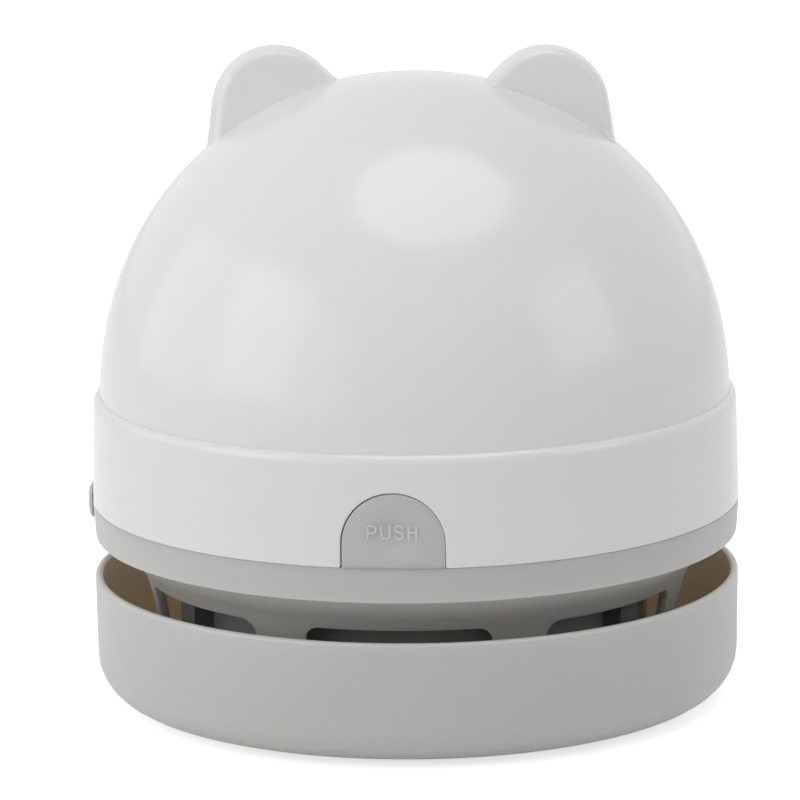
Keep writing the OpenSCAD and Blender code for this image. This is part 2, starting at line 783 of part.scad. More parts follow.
module chassis() color([0.30, 0.30, 0.31]) difference() {
    union() {
        translate([0, 0, z_chassis]) cylinder(r = chassis_r, h = chassis_t);
        for (a = ring_post_at) at(a, ring_post_r)
            translate([0, 0, z_seam]) cylinder(r = post_r, h = z_chassis - z_seam + eps, $fn = 32);
        for (a = plate_post_at) at(a, plate_post_r)
            translate([0, 0, z_plate_top])
                cylinder(r = post_r, h = z_chassis - z_plate_top + eps, $fn = 32);
        span([-switch_x + switch_d, -bracket_w / 2, z_switch],
             [-switch_x + switch_d + bracket_t, bracket_w / 2, z_chassis + eps]);
        // Saddles under the cell, and posts for its strap
        for (s = [-1, 1]) translate([cell_x, s * saddle_y, 0]) difference() {
            span([-cell_r + 0.5, -saddle_w / 2, z_top - eps], [cell_r - 0.5, saddle_w / 2, z_cell - 3]);
            translate([0, 0, z_cell]) rotate([90, 0, 0]) cylinder(r = cell_r, h = saddle_w + 2, center = true);
        }
        for (s = [-1, 1]) translate([cell_x + s * strap_screw_x, strap_y, z_top - eps])
            cylinder(r = strap_foot / 2, h = strap_post_h, $fn = 32);
        for (s = [-1, 1]) translate([s * board_screw_x, board_screw_y, z_top - eps])
            cylinder(r = 2, h = board_lift + eps, $fn = 32);
    }
    for (a = ring_post_at) at(a, ring_post_r)
        translate([0, 0, z_seam - 1]) cylinder(r = screw_r, h = post_screw_l + 1 + pilot_over, $fn = 24);
    for (a = plate_post_at) at(a, plate_post_r)
        translate([0, 0, z_plate_top - 1]) cylinder(r = screw_r, h = post_screw_l + 1 + pilot_over, $fn = 24);
    for (a = dome_boss_at) at(a, dome_boss_r)
        translate([0, 0, z_chassis - 1]) cylinder(r = pass_r, h = chassis_t + 2, $fn = 24);
    translate([0, 0, z_chassis - 1]) cylinder(r = can_boss_r + seat_gap, h = chassis_t + 2);
    for (s = [-1, 1]) translate([s * motor_pcd / 2, 0, z_chassis - 1])
        cylinder(r = pass_r, h = chassis_t + 2, $fn = 24);
    for (s = [-1, 1]) translate([cell_x + s * strap_screw_x, strap_y, z_top - 1.5])
        cylinder(r = screw_r, h = 5, $fn = 24);
    for (s = [-1, 1]) translate([s * board_screw_x, board_screw_y, z_top - 1.5])
        cylinder(r = screw_r, h = 5, $fn = 24);
    // Notch for the switch's leads
    span([-chassis_r - 1, -switch_lead_y - 1.2, z_chassis - 1],
         [-switch_x + switch_d - 0.5, switch_lead_y + 1.2, z_top + 1]);
}

module intake_plate() color([0.24, 0.24, 0.25]) difference() {
    union() {
        translate([0, 0, z_plate]) cylinder(r = plate_r, h = plate_t);
        ring(filter_r, filter_r - 1.4, z_plug, z_plate + eps);
        for (a = plate_post_at) at(a, plate_post_r) {
            translate([0, 0, z_plate]) cylinder(r = post_r, h = plate_t, $fn = 32);
            span([-post_r, 0, z_plate], [post_r, 4, z_plate_top]);
        }
    }
    translate([0, 0, z_plate - 1]) cylinder(r = inlet_r, h = plate_t + 2);
    for (a = plate_post_at) at(a, plate_post_r) translate([0, 0, z_plate - 1])
        cylinder(r = pass_r, h = plate_t + 2, $fn = 24);
}

// A blade as a bent wall: part of a ring about a centre beside the axis
module blade() {
    bend = (fan_r + blade_in_r) * 0.62;
    intersection() {
        translate([0, (fan_r - blade_in_r) * 0.25 - bend]) difference() {
            circle(bend);
            circle(bend - blade_t);
        }
        difference() {
            circle(fan_r - blade_inset);
            circle(blade_in_r);
        }
        translate([0, -fan_r]) square(2 * fan_r);
    }
}

module impeller() color([0.12, 0.12, 0.13]) difference() {
    union() {
        translate([0, 0, z_back]) cylinder(r = fan_r, h = back_t);
        translate([0, 0, z_blade + hub_drop]) cylinder(r = hub_r, h = blade_h + back_t);
        translate([0, 0, z_blade]) linear_extrude(blade_h + back_t / 2)
            for (i = [0:blade_n - 1]) rotate(i * 360 / blade_n) blade();
    }
    cylinder(r = shaft_r, h = z_top);
}

module motor_shaft() color([0.75, 0.75, 0.77])
    translate([0, 0, z_shaft]) cylinder(r = shaft_r, h = z_motor + cap_boss_h + 0.8 - z_shaft);

module armature() color([0.55, 0.33, 0.18]) difference() {
    translate([0, 0, z_core]) linear_extrude(core_l) intersection() {
        circle(pole_r);
        union() {
            circle(pole_r * 0.42);
            for (i = [0:2]) rotate(120 * i) {
                translate([0, -1.4]) square([pole_r, 2.8]);
                intersection() {
                    difference() {
                        circle(pole_r);
                        circle(pole_r - 1.6);
                    }
                    polygon([[0, 0], [2 * pole_r, -2.4 * pole_r], [2 * pole_r, 2.4 * pole_r]]);
                }
            }
        }
    }
    translate([0, 0, z_core - 1]) cylinder(r = shaft_r, h = core_l + 2);
}

// ---------- motor ----------

module motor_can() color([0.70, 0.71, 0.72]) difference() {
    union() {
        translate([0, 0, z_top]) cylinder(r = motor_r, h = motor_l);
        translate([0, 0, z_chassis + 0.2]) cylinder(r = can_boss_r, h = chassis_t);
    }
    translate([0, 0, z_top + can_wall + 0.4]) cylinder(r = motor_r - can_wall, h = motor_l);
    translate([0, 0, z_chassis - 1]) cylinder(r = bush_r, h = chassis_t + 5);
    for (s = [-1, 1]) translate([s * motor_pcd / 2, 0, z_top - 1])
        cylinder(r = screw_r, h = can_wall + 3, $fn = 24);
}

module motor_magnets() color([0.22, 0.21, 0.21]) intersection() {
    ring(motor_r - can_wall, motor_r - can_wall - magnet_t, z_core - 1, z_core + core_l + 1);
    for (a = [0, 180]) rotate(a) translate([0, 0, z_core - 1]) linear_extrude(core_l + 2)
        polygon([[0, 2], [motor_r, motor_r * 0.55], [motor_r, motor_r], [-motor_r, motor_r],
                 [-motor_r, motor_r * 0.55]]);
}

module motor_cap() color([0.10, 0.10, 0.10]) difference() {
    union() {
        translate([0, 0, z_motor - cap_h]) cylinder(r = motor_r - can_wall, h = cap_h);
        translate([0, 0, z_motor - eps]) cylinder(r = bush_r + 1, h = cap_boss_h + eps);
    }
    translate([0, 0, z_motor - cap_h - 1]) cylinder(r = bush_r, h = cap_h + cap_boss_h + 2);
}

module motor_bushes() color([0.80, 0.62, 0.30]) {
    ring(bush_r, shaft_r + spin_gap, z_chassis + 0.4, z_chassis + 0.4 + bush_h);
    ring(bush_r, shaft_r + spin_gap, z_motor - cap_h, z_motor - cap_h + bush_h);
}

module motor_screws() color([0.6, 0.6, 0.62]) for (s = [-1, 1])
    translate([s * motor_pcd / 2, 0, z_chassis]) screw_up(chassis_t + can_wall + 1);

// ---------- cell ----------

module cell() color([0.20, 0.42, 0.62]) translate([cell_x, 0, z_cell]) rotate([90, 0, 0]) {
    cylinder(r = cell_r, h = cell_l, center = true);
    translate([0, 0, cell_l / 2 - eps]) cylinder(r = nub_r, h = nub_h + eps, $fn = 32);
}

module cell_tabs() color([0.78, 0.78, 0.76]) for (s = [-1, 1]) {
    y = s < 0 ? -cell_l / 2 - nub_h - cell_tab_t : cell_l / 2;
    translate([cell_x, y, z_cell]) span([-2, 0, -1.5], [2, cell_tab_t, 4.5]);
}

module cell_strap() color([0.28, 0.28, 0.29]) translate([cell_x, strap_y, 0]) difference() {
    union() {
        translate([0, 0, z_cell]) rotate([90, 0, 0])
            cylinder(r = cell_r + seat_gap + strap_t, h = strap_w, center = true);
        span([-cell_r - strap_foot - 0.6, -strap_w / 2, z_top + strap_post_h],
             [cell_r + strap_foot + 0.6, strap_w / 2, z_top + strap_post_h + strap_foot_t]);
    }
    translate([0, 0, z_cell]) rotate([90, 0, 0])
        cylinder(r = cell_r + seat_gap, h = strap_w + 2, center = true);
    span([-cell_r * 2, -strap_w, z_top - 1], [cell_r * 2, strap_w, z_top + strap_post_h]);
    for (s = [-1, 1]) translate([s * strap_screw_x, 0, z_top])
        cylinder(r = pass_r, h = 6, $fn = 24);
}

module strap_screws() color([0.6, 0.6, 0.62]) for (s = [-1, 1])
    translate([cell_x + s * strap_screw_x, strap_y, z_top + strap_post_h + strap_foot_t])
        screw_down(strap_screw_l);

// ---------- board, socket and switch ----------

module charge_board() color([0.07, 0.35, 0.20]) difference() {
    union() {
        span([-board_w / 2, board_y0, z_board], [board_w / 2, board_y1, z_board_top]);
        translate([chip_at[0], board_y0 + chip_at[1], z_board_top - eps]) cube(chip + [0, 0, eps]);
        translate([coil_at[0], board_y0 + coil_at[1], z_board_top - eps]) cube(coil + [0, 0, eps]);
    }
    for (s = [-1, 1]) translate([s * board_screw_x, board_screw_y, z_board - 1])
        cylinder(r = pass_r, h = board_t + 2, $fn = 24);
}

module board_screws() color([0.6, 0.6, 0.62]) for (s = [-1, 1])
    translate([s * board_screw_x, board_screw_y, z_board_top]) screw_down(board_screw_l);

module usb_socket() color([0.75, 0.76, 0.78]) translate([0, usb_y1, z_usb]) rotate([90, 0, 0]) {
    difference() {
        linear_extrude(usb_l) socket_outline(0);
        translate([0, 0, -1]) linear_extrude(usb_l) socket_outline(-usb_wall);
    }
    translate([-3.3, -0.35, 0.8]) cube([6.6, 0.7, usb_l - 1]);
}

module switch_body() color([0.55, 0.56, 0.58]) difference() {
    span([-switch_x, -switch_l / 2, z_switch], [-switch_x + switch_d, switch_l / 2, z_switch + switch_h]);
    span([-switch_x - 1, -slot_w / 2 + 0.2, z_switch - 1],
         [-switch_x + 1.3, slot_w / 2 - 0.2, z_stem + stem_h / 2 + 0.15]);
}

// ---------- screws that join the head ----------

module chassis_screws() color([0.6, 0.6, 0.62]) for (a = dome_boss_at) at(a, dome_boss_r)
    translate([0, 0, z_chassis]) screw_up(dome_screw_l);

module ring_screws() color([0.6, 0.6, 0.62]) for (a = ring_post_at) at(a, ring_post_r)
    translate([0, 0, z_lug]) screw_up(lug_t + post_screw_l);

module plate_screws() color([0.6, 0.6, 0.62]) for (a = plate_post_at) at(a, plate_post_r)
    translate([0, 0, z_plate]) screw_up(plate_t + post_screw_l);

// ---------- leads ----------

module motor_leads() color([0.75, 0.10, 0.10]) translate([0, 0, z_top])
    for (s = [0, 1]) mirror([s, 0, 0]) lead(motor_route);

module cell_leads() color([0.10, 0.10, 0.10]) translate([0, 0, z_top]) {
    lead(cell_route_rear);
    lead(cell_route_front);
}

module switch_leads() color([0.12, 0.25, 0.65]) translate([0, 0, z_top]) {
    lead(switch_route_a);
    lead(switch_route_b);
}

suction_bowl();
vent_neck();
dust_cup();
cup_bumpers();
cup_seal();
brush_strips();
glide_feet();
neck_screws();
filter_frame();
filter_mesh();
dome_shell();
mid_band();
lower_ring();
push_tab();
switch_knob();
chassis();
intake_plate();
impeller();
motor_shaft();
armature();
motor_can();
motor_magnets();
motor_cap();
motor_bushes();
motor_screws();
cell();
cell_tabs();
cell_strap();
strap_screws();
charge_board();
board_screws();
usb_socket();
switch_body();
chassis_screws();
ring_screws();
plate_screws();
motor_leads();
cell_leads();
switch_leads();
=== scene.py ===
# A desktop mini vacuum cleaner: a domed white head with two ears stands on a round grey
# dust unit. Its fan draws crumbs up through the brushed mouth under the bowl into a smoked
# cup, and blows the air out of the gap all round. Lengths are in metres, +Z is up, and
# angles round the axis start at the front, where the push tab is, and grow towards +X.

import math

import bmesh
import bpy
from mathutils import Matrix, Quaternion, Vector


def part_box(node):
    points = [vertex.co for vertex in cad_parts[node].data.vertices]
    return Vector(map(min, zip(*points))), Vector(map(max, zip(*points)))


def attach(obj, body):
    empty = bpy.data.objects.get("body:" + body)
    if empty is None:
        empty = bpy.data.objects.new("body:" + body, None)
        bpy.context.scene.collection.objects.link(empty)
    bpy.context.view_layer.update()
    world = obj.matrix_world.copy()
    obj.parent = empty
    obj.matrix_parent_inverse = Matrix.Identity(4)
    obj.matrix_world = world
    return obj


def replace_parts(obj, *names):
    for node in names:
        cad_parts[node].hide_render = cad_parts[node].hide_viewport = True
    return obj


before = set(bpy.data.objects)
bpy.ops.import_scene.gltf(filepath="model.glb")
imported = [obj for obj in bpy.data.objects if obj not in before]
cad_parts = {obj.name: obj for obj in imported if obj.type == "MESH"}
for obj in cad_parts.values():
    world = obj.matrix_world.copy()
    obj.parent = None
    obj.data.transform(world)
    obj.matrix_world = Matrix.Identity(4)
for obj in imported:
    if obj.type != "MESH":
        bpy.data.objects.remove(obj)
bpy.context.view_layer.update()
mm = 0.001

# ---------- Suction bowl ----------
# The tray that stands on the desk, moulded in a warm light grey plastic 1.1 mm thick, with
# a rolled rim and a big bottom radius. A mouth tube stands in its floor, and two walled
# channels beside the mouth take the brushes from below.

bowl_low, bowl_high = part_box("suction_bowl")
bowl_r = bowl_high.x
bowl_wall = 1.1 * mm
bowl_lean = 0.25 * mm
bowl_fillet = 6 * mm
floor_t = 1.6 * mm
z_floor = bowl_low.z + floor_t
mouth_r = 10 * mm
tube_r = 11.2 * mm
tube_h = 10.5 * mm


def at(degrees, radius, z=0.0):
    """Point at an angle from the front and a distance from the axis."""
    a = math.radians(degrees)
    return Vector((radius * math.sin(a), -radius * math.cos(a), z))


def rounded(corners, steps=7, closed=True):
    """Outline through corners of (x, y, fillet), each rounded by its own fillet."""
    path = []
    for i, (x, y, fillet) in enumerate(corners):
        p = Vector((x, y))
        if fillet == 0 or (not closed and i in (0, len(corners) - 1)):
            path.append(p)
            continue
        a = (Vector(corners[i - 1][:2]) - p).normalized()
        b = (Vector(corners[(i + 1) % len(corners)][:2]) - p).normalized()
        half = a.angle(b) / 2
        centre = p + (a + b).normalized() * (fillet / math.sin(half))
        first = p + a * (fillet / math.tan(half)) - centre
        last = p + b * (fillet / math.tan(half)) - centre
        turn = math.atan2(first.x * last.y - first.y * last.x, first.dot(last))
        for k in range(steps + 1):
            c, s = math.cos(turn * k / steps), math.sin(turn * k / steps)
            path.append(centre + Vector((c * first.x - s * first.y, s * first.x + c * first.y)))
    return path


def clean(obj, sharp=35):
    """Merges doubles, turns faces outwards, and shades smooth up to an angle."""
    made = bmesh.new()
    made.from_mesh(obj.data)
    bmesh.ops.remove_doubles(made, verts=made.verts, dist=1e-7)
    bmesh.ops.recalc_face_normals(made, faces=made.faces)
    made.to_mesh(obj.data)
    made.free()
    obj.data.shade_smooth()
    obj.data.set_sharp_from_angle(angle=math.radians(sharp))
    return obj


def thing(name, points, faces=()):
    """A new object in the scene from points and faces, or from points alone."""
    mesh = bpy.data.meshes.new(name)
    mesh.from_pydata([tuple(p) for p in points], [], faces)
    obj = bpy.data.objects.new(name, mesh)
    bpy.context.scene.collection.objects.link(obj)
    return clean(obj) if faces else obj


def drawn(name, made):
    """A new object in the scene from a mesh in the making."""
    obj = thing(name, [])
    made.to_mesh(obj.data)
    made.free()
    return clean(obj)


def skin(name, rows, joined=True):
    """Mesh over rows of points, each row a closed ring, or one point where it is a pole.
    joined ties the last row back to the first."""
    points, starts, faces = [], [], []
    for row in rows:
        starts.append(len(points))
        points.extend(row)
    pairs = [(i, i + 1) for i in range(len(rows) - 1)]
    if joined:
        pairs.append((len(rows) - 1, 0))
    for a, b in pairs:
        for k in range(max(len(rows[a]), len(rows[b]))):
            places = ((a, k), (a, k + 1), (b, k + 1), (b, k))
            corners = [starts[row] + j % len(rows[row]) for row, j in places]
            faces.append(list(dict.fromkeys(corners)))
    return thing(name, points, faces)


def revolve(name, outline, around=192, joined=True):
    """Turns a half outline of (radius, z) round the axis. Points on the axis become poles."""
    angles = [360 * k / around for k in range(around)]
    rows = []
    for r, z in outline:
        rows.append([at(a, r, z) for a in angles] if r > 1e-7 else [Vector((0, 0, z))])
    return skin(name, rows, joined)


def drum(radius, z0, z1, place=(0, 0, 0), edge=0.0, around=48):
    """Solid cylinder with rounded ends, standing at a place."""
    outline = rounded([(0, z0, 0), (radius, z0, edge), (radius, z1, edge), (0, z1, 0)], 3, False)
    return shifted(revolve("drum", outline, around, False), place)


def drums(angles, place_r, radius, z0, z1, edge=0.0, around=48):
    """One such cylinder at each of some angles round the axis."""
    return [drum(radius, z0, z1, at(a, place_r), edge, around) for a in angles]


def block(low, high, edge=0.0):
    """Solid box from its low corner to its high corner, with rounded edges."""
    made = bmesh.new()
    bmesh.ops.create_cube(made, size=1)
    for v in made.verts:
        v.co = Vector([low[i] + (v.co[i] + 0.5) * (high[i] - low[i]) for i in range(3)])
    if edge:
        sides = made.edges[:]
        bmesh.ops.bevel(made, geom=sides, offset=edge, segments=2, affect="EDGES", profile=0.5)
    return drawn("block", made)


def shifted(obj, place):
    """Moves an object's mesh, and leaves its origin at the frame's."""
    obj.data.transform(Matrix.Translation(Vector(place)))
    return obj


def settle(obj):
    """Makes the result of an object's modifiers its own plain mesh."""
    shaped = obj.evaluated_get(bpy.context.evaluated_depsgraph_get())
    made, old = bpy.data.meshes.new_from_object(shaped), obj.data
    obj.modifiers.clear()
    obj.data = made
    bpy.data.meshes.remove(old)
    return obj


def combine(obj, others, operation):
    """Boolean of an object with others, which are used up."""
    for other in others:
        step = obj.modifiers.new("combine", "BOOLEAN")
        step.operation, step.object, step.solver = operation, other, "MANIFOLD"
        settle(obj)
        bpy.data.objects.remove(other)
    return clean(obj)


def softened(obj, width):
    """Rounds the sharp edges that cuts have left."""
    bevel = obj.modifiers.new("soften", "BEVEL")
    bevel.width, bevel.segments, bevel.limit_method = width, 2, "ANGLE"
    bevel.angle_limit = math.radians(40)
    return clean(settle(obj))


class Value:
    """An output in a node tree. Sums written on it add their own Math nodes."""

    def __init__(self, tree, socket):
        self.tree, self.socket = tree, socket

    def also(self, out):
        """Another output of the node that this value comes from."""
        return Value(self.tree, self.socket.node.outputs[out])

    def math(self, operation, *terms):
        return self.tree.node("ShaderNodeMath", {"operation": operation}, dict(enumerate(terms)))

    def __add__(self, other):
        return self.math("ADD", self, other)

    def __sub__(self, other):
        return self.math("SUBTRACT", self, other)

    def __rsub__(self, other):
        return self.math("SUBTRACT", other, self)

    def __mul__(self, other):
        return self.math("MULTIPLY", self, other)

    def __truediv__(self, other):
        return self.math("DIVIDE", self, other)

    def __rtruediv__(self, other):
        return self.math("DIVIDE", other, self)

    __radd__, __rmul__ = __add__, __mul__


class Tree:
    """A node tree whose nodes all come from one method."""

    def __init__(self, tree):
        self.tree = tree

    def node(self, kind, settings=None, sockets=None, out=0):
        """Adds a node with its settings, then the values or links of its sockets."""
        made = self.tree.nodes.new(kind)
        for key, value in (settings or {}).items():
            setattr(made, key, value)
        for key, value in (sockets or {}).items():
            self.feed(made.inputs[key], value)
        return Value(self, made.outputs[out])

    def feed(self, socket, value):
        if isinstance(value, Value):
            self.tree.links.new(value.socket, socket)
        else:
            socket.default_value = value


class Finish(Tree):
    """A material, whose patterns lie in the frame's own coordinates."""

    def __init__(self, name, **fixed):
        self.material = bpy.data.materials.new(name)
        self.material.use_nodes = True
        super().__init__(self.material.node_tree)
        self.shader = self.tree.nodes["Principled BSDF"]
        for key, value in fixed.items():
            self.shader.inputs[key.replace("_", " ")].default_value = value
        self.place = self.node("ShaderNodeTexCoord", out="Object")

    def noise(self, scale, detail=2.0, place=None):
        """Cloudy value round 0, from about -0.5 to 0.5, with scale clouds to a metre."""
        sockets = {"Vector": place or self.place, "Scale": scale, "Detail": detail}
        return self.node("ShaderNodeTexNoise", {}, sockets, "Fac") - 0.5

    def height(self):
        """Height over the desk."""
        return self.node("ShaderNodeSeparateXYZ", {}, {"Vector": self.place}, "Z")

    def stretched(self, x, y, z):
        """Coordinates scaled apart along each axis, for a grain that runs one way."""
        return self.node("ShaderNodeMapping", {}, {"Vector": self.place, "Scale": (x, y, z)})

    def step(self, value, low, high):
        """0 below low, 1 above high, and a soft step between them."""
        sockets = {"Value": value, "From Min": low, "From Max": high}
        return self.node("ShaderNodeMapRange", {"interpolation_type": "SMOOTHSTEP"}, sockets)

    def mix(self, a, b, share):
        """Colour between colours a and b."""
        sockets = {0: share, 6: (*a, 1), 7: (*b, 1)}
        return self.node("ShaderNodeMix", {"data_type": "RGBA"}, sockets, 2)

    def bump(self, height, depth, under=None):
        """Normal of a relief whose height, from 0 to 1, stands for a real depth."""
        sockets = {"Height": height, "Distance": depth, "Strength": 1.0}
        if under:
            sockets["Normal"] = under
        return self.node("ShaderNodeBump", {}, sockets)

    def wear(self, **values):
        """Feeds the shader's sockets with values that change over the surface."""
        for key, value in values.items():
            self.feed(self.shader.inputs[key.replace("_", " ")], value)
        return self


def moulded(name, colour, rough, drift=0.03, grain=0.000012, scuff=0.06, **fixed):
    """Moulded plastic: colour that drifts a little with the flow of the melt, a fine satin grain
    from the tool, and handling marks that only the gloss shows."""
    made = Finish(name, **fixed)
    flow = made.noise(38, 3)
    rubs = made.step(made.noise(150, 5, made.stretched(1, 1, 0.35)), 0.06, 0.3)
    darker = tuple(c * (1 - drift) for c in colour)
    lighter = tuple(min(1, c * (1 + drift)) for c in colour)
    return made.wear(
        Base_Color=made.mix(darker, lighter, flow + 0.5),
        Roughness=rough + flow * 0.04 + rubs * scuff,
        Normal=made.bump(made.noise(2400, 2), grain, made.bump(made.noise(160, 1), grain * 3)),
    )


def fit(obj, body, slot, finish, *nodes):
    """Gives a finished piece its material, its body and the solids it stands for. The slot is not
    used.
    """
    obj.data.materials.clear()
    obj.data.materials.append(finish.material)
    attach(obj, body)
    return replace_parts(obj, *nodes)


brush_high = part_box("brush_strips")[1]
brush_half_w = 1.6 * mm
brush_y = brush_high.y - brush_half_w
brush_depth = 3 * mm
rail_wall = 1.2 * mm
brush_fit = 0.1 * mm
foot_at = (0, 90, 180, 270)
foot_place_r = 31 * mm
foot_r = 3.5 * mm
foot_recess, foot_fit = 0.4 * mm, 0.05 * mm
rib_count = 7
neck_screw_at = [(i + 0.5) * 360 / rib_count for i in (0, 2, 4)]
neck_screw_r = 34.85 * mm
head_r, head_h, head_fit = 1.8 * mm, 1.1 * mm, 0.15 * mm
hole_r = 1.15 * mm


def channel(grow, z0, z1, side, edge=0.0):
    """Box over one brush, grown sideways."""
    x, y = brush_high.x + grow, brush_half_w + grow
    return block((-x, side * brush_y - y, z0), (x, side * brush_y + y, z1), edge)


z_under = bowl_low.z
low_r = bowl_r - bowl_lean
bowl_corners = [
    (mouth_r, z_under, 0.4 * mm),
    (low_r, z_under, bowl_fillet),
    (bowl_r, bowl_high.z, bowl_wall * 0.49),
    (bowl_r - bowl_wall, bowl_high.z, bowl_wall * 0.49),
    (low_r - bowl_wall, z_floor, bowl_fillet - bowl_wall),
    (tube_r, z_floor, 0.8 * mm),
    (tube_r, z_under + tube_h, 0.5 * mm),
    (mouth_r, z_under + tube_h, 0.5 * mm),
]
bowl = revolve("bowl", rounded(bowl_corners))
z_rail, z_rail_top = z_under + floor_t / 2, z_under + brush_depth + mm
rails = [channel(brush_fit + rail_wall, z_rail, z_rail_top, s, 0.4 * mm) for s in (-1, 1)]
combine(bowl, rails, "UNION")
cuts = [channel(brush_fit, -mm, z_under + brush_depth, s) for s in (-1, 1)]
cuts += drums(foot_at, foot_place_r, foot_r + foot_fit, -mm, z_under + foot_recess)
for a in neck_screw_at:
    cuts.append(drum(head_r + head_fit, -mm, z_under + head_h, at(a, neck_screw_r)))
    cuts.append(drum(hole_r, 0, z_floor + mm, at(a, neck_screw_r)))
combine(bowl, cuts, "DIFFERENCE")
glow = {
    "Subsurface_Weight": 0.6,
    "Subsurface_Radius": (1.0, 0.74, 0.5),
    "Subsurface_Scale": 0.0045,
    "Specular_IOR_Level": 0.75,
}
grey_plastic = moulded("grey_moulded_plastic", (0.545, 0.545, 0.535), 0.38, **glow)
fit(softened(bowl, 0.12 * mm), "dust_unit", "grey_shell", grey_plastic, "suction_bowl")

# ---------- Vent neck ----------
# A grey moulded tube that flares from the bowl's floor to the flange under the head. Seven
# windows let the air out, and three of the ribs between them have a boss for a screw from
# below. Its collar stands up inside the head's ring, with a lip that the latch catches.

neck_low, neck_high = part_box("vent_neck")
neck_r = 36.4 * mm
neck_wall = 1.3 * mm
flare_r, mouth_flare_r = 27 * mm, 7 * mm
z_waist, z_mouth = 9 * mm, 17.6 * mm
flange_r, flange_z = 42.1 * mm, 23.38 * mm
collar_in_r = 39.57 * mm
collar_r = 41.17 * mm
rib_degrees = 11
window_h = 12.55 * mm
window_corner = 1.8 * mm
sill_h = 3.2 * mm
boss_r, boss_h, boss_inset = 2.1 * mm, 11 * mm, 0.05 * mm
pilot_r, pilot_depth = 1.0 * mm, 8 * mm
lip_points = ((-0.3, 26.2), (0.4, 26.2), (0.5, 26.4), (0.5, 26.8), (0.3, 27.0), (-0.3, 27.0))


def flare(wall, last, steps=12):
    """One side of the flare from the waist up: a long arc, then a short one to the flange."""
    turn = math.asin((z_mouth - z_waist) / flare_r)
    wide, x, z = flare_r + wall, neck_r + flare_r, z_waist
    path = []
    for k in range(steps + 1):
        a = turn * k / steps
        path.append((x - wide * math.cos(a), z + wide * math.sin(a)))
    x -= (flare_r - mouth_flare_r) * math.cos(turn)
    z += (flare_r - mouth_flare_r) * math.sin(turn)
    wide = mouth_flare_r + wall
    for k in range(1, steps + 1):
        a = turn + (math.radians(last) - turn) * k / steps
        path.append((x - wide * math.cos(a), z + wide * math.sin(a)))
    return path


def rounded_box(x0, y0, x1, y1, corner, steps=7):
    """Outline of a rectangle with rounded corners."""
    return rounded([(x0, y0, corner), (x1, y0, corner), (x1, y1, corner), (x0, y1, corner)], steps)


def bar(name, rows):
    """Solid over rows of points, closed by a point in the middle of each end."""
    ends = [[sum(row, Vector((0, 0, 0))) / len(row)] for row in (rows[0], rows[-1])]
    return skin(name, [ends[0], *rows, ends[1]], False)


def prism(outline, y0, y1):
    """Solid along Y from an outline in x and z."""
    return bar("prism", [[Vector((x, y, z)) for x, z in outline] for y in (y0, y1)])


def arc_bar(name, section, angles):
    """Solid whose half section of (radius, z) runs round the axis over some angles."""
    return bar(name, [[at(a, r, z) for r, z in section] for a in angles])


def turned(obj, degrees):
    """Turns an object's mesh round the axis, towards +X for a positive angle."""
    obj.data.transform(Matrix.Rotation(math.radians(degrees), 4, "Z"))
    return obj


def merged(name, objects):
    """One object of several meshes that lie side by side."""
    made = bmesh.new()
    for o in objects:
        made.from_mesh(o.data)
        bpy.data.objects.remove(o)
    return drawn(name, made)


inner, outer = flare(neck_wall, 54), flare(0, 42)
collar = [
    (*outer[-1], 0),
    (flange_r, flange_z - 0.15 * mm, 0.05 * mm),
    (flange_r, flange_z, 0.05 * mm),
    (collar_r, flange_z, 0.3 * mm),
    (collar_r, neck_high.z, 0.4 * mm),
    (collar_in_r, neck_high.z, 0.4 * mm),
    (collar_in_r, inner[-1][1] + 0.1 * mm, 0),
]
z_neck = neck_low.z
neck_outline = [(neck_r, z_neck), *outer, *rounded(collar, 4, False)[1:]]
neck_outline += [*reversed(inner), (neck_r - neck_wall, z_neck)]
neck = revolve("neck", neck_outline, 30 * rib_count)
half_w = neck_r * math.sin(math.radians(360 / rib_count - rib_degrees) / 2)
z_sill = z_floor + sill_h
window = rounded_box(-half_w, z_sill, half_w, z_sill + window_h, window_corner)
cuts = [turned(prism(window, -44 * mm, -26 * mm), i * 360 / rib_count) for i in range(rib_count)]
combine(neck, cuts, "DIFFERENCE")
bosses = []
for a in neck_screw_at:
    boss = drum(boss_r, z_neck, z_neck + boss_h, at(a, neck_screw_r), 0.3 * mm)
    hollow = drum(neck_r - boss_inset, 0, 20 * mm, around=30 * rib_count)
    bosses.append(combine(boss, [hollow], "INTERSECT"))
combine(neck, bosses, "UNION")
pilots = drums(neck_screw_at, neck_screw_r, pilot_r, z_neck - mm, z_neck + pilot_depth)
combine(neck, pilots, "DIFFERENCE")
softened(neck, 0.25 * mm)
lip = arc_bar("lip", [(collar_r + out * mm, z * mm) for out, z in lip_points], range(-11, 12))
# The neck's plastic is a warmer copy of the grey plastic: its warm tint is painted bounced light
# from the shaded gap under the head.
painted_warm_plastic = moulded("grey_inner_plastic", (0.56, 0.545, 0.515), 0.5, **glow)
fit(merged("neck", [neck, lip]), "dust_unit", "grey_shell", painted_warm_plastic, "vent_neck")

# ---------- Dust cup ----------
# The cup that holds the dust is moulded in smoked plastic. A soft black seal sits on its rim,
# and three grey rubber bumpers hold it in the middle of the neck.

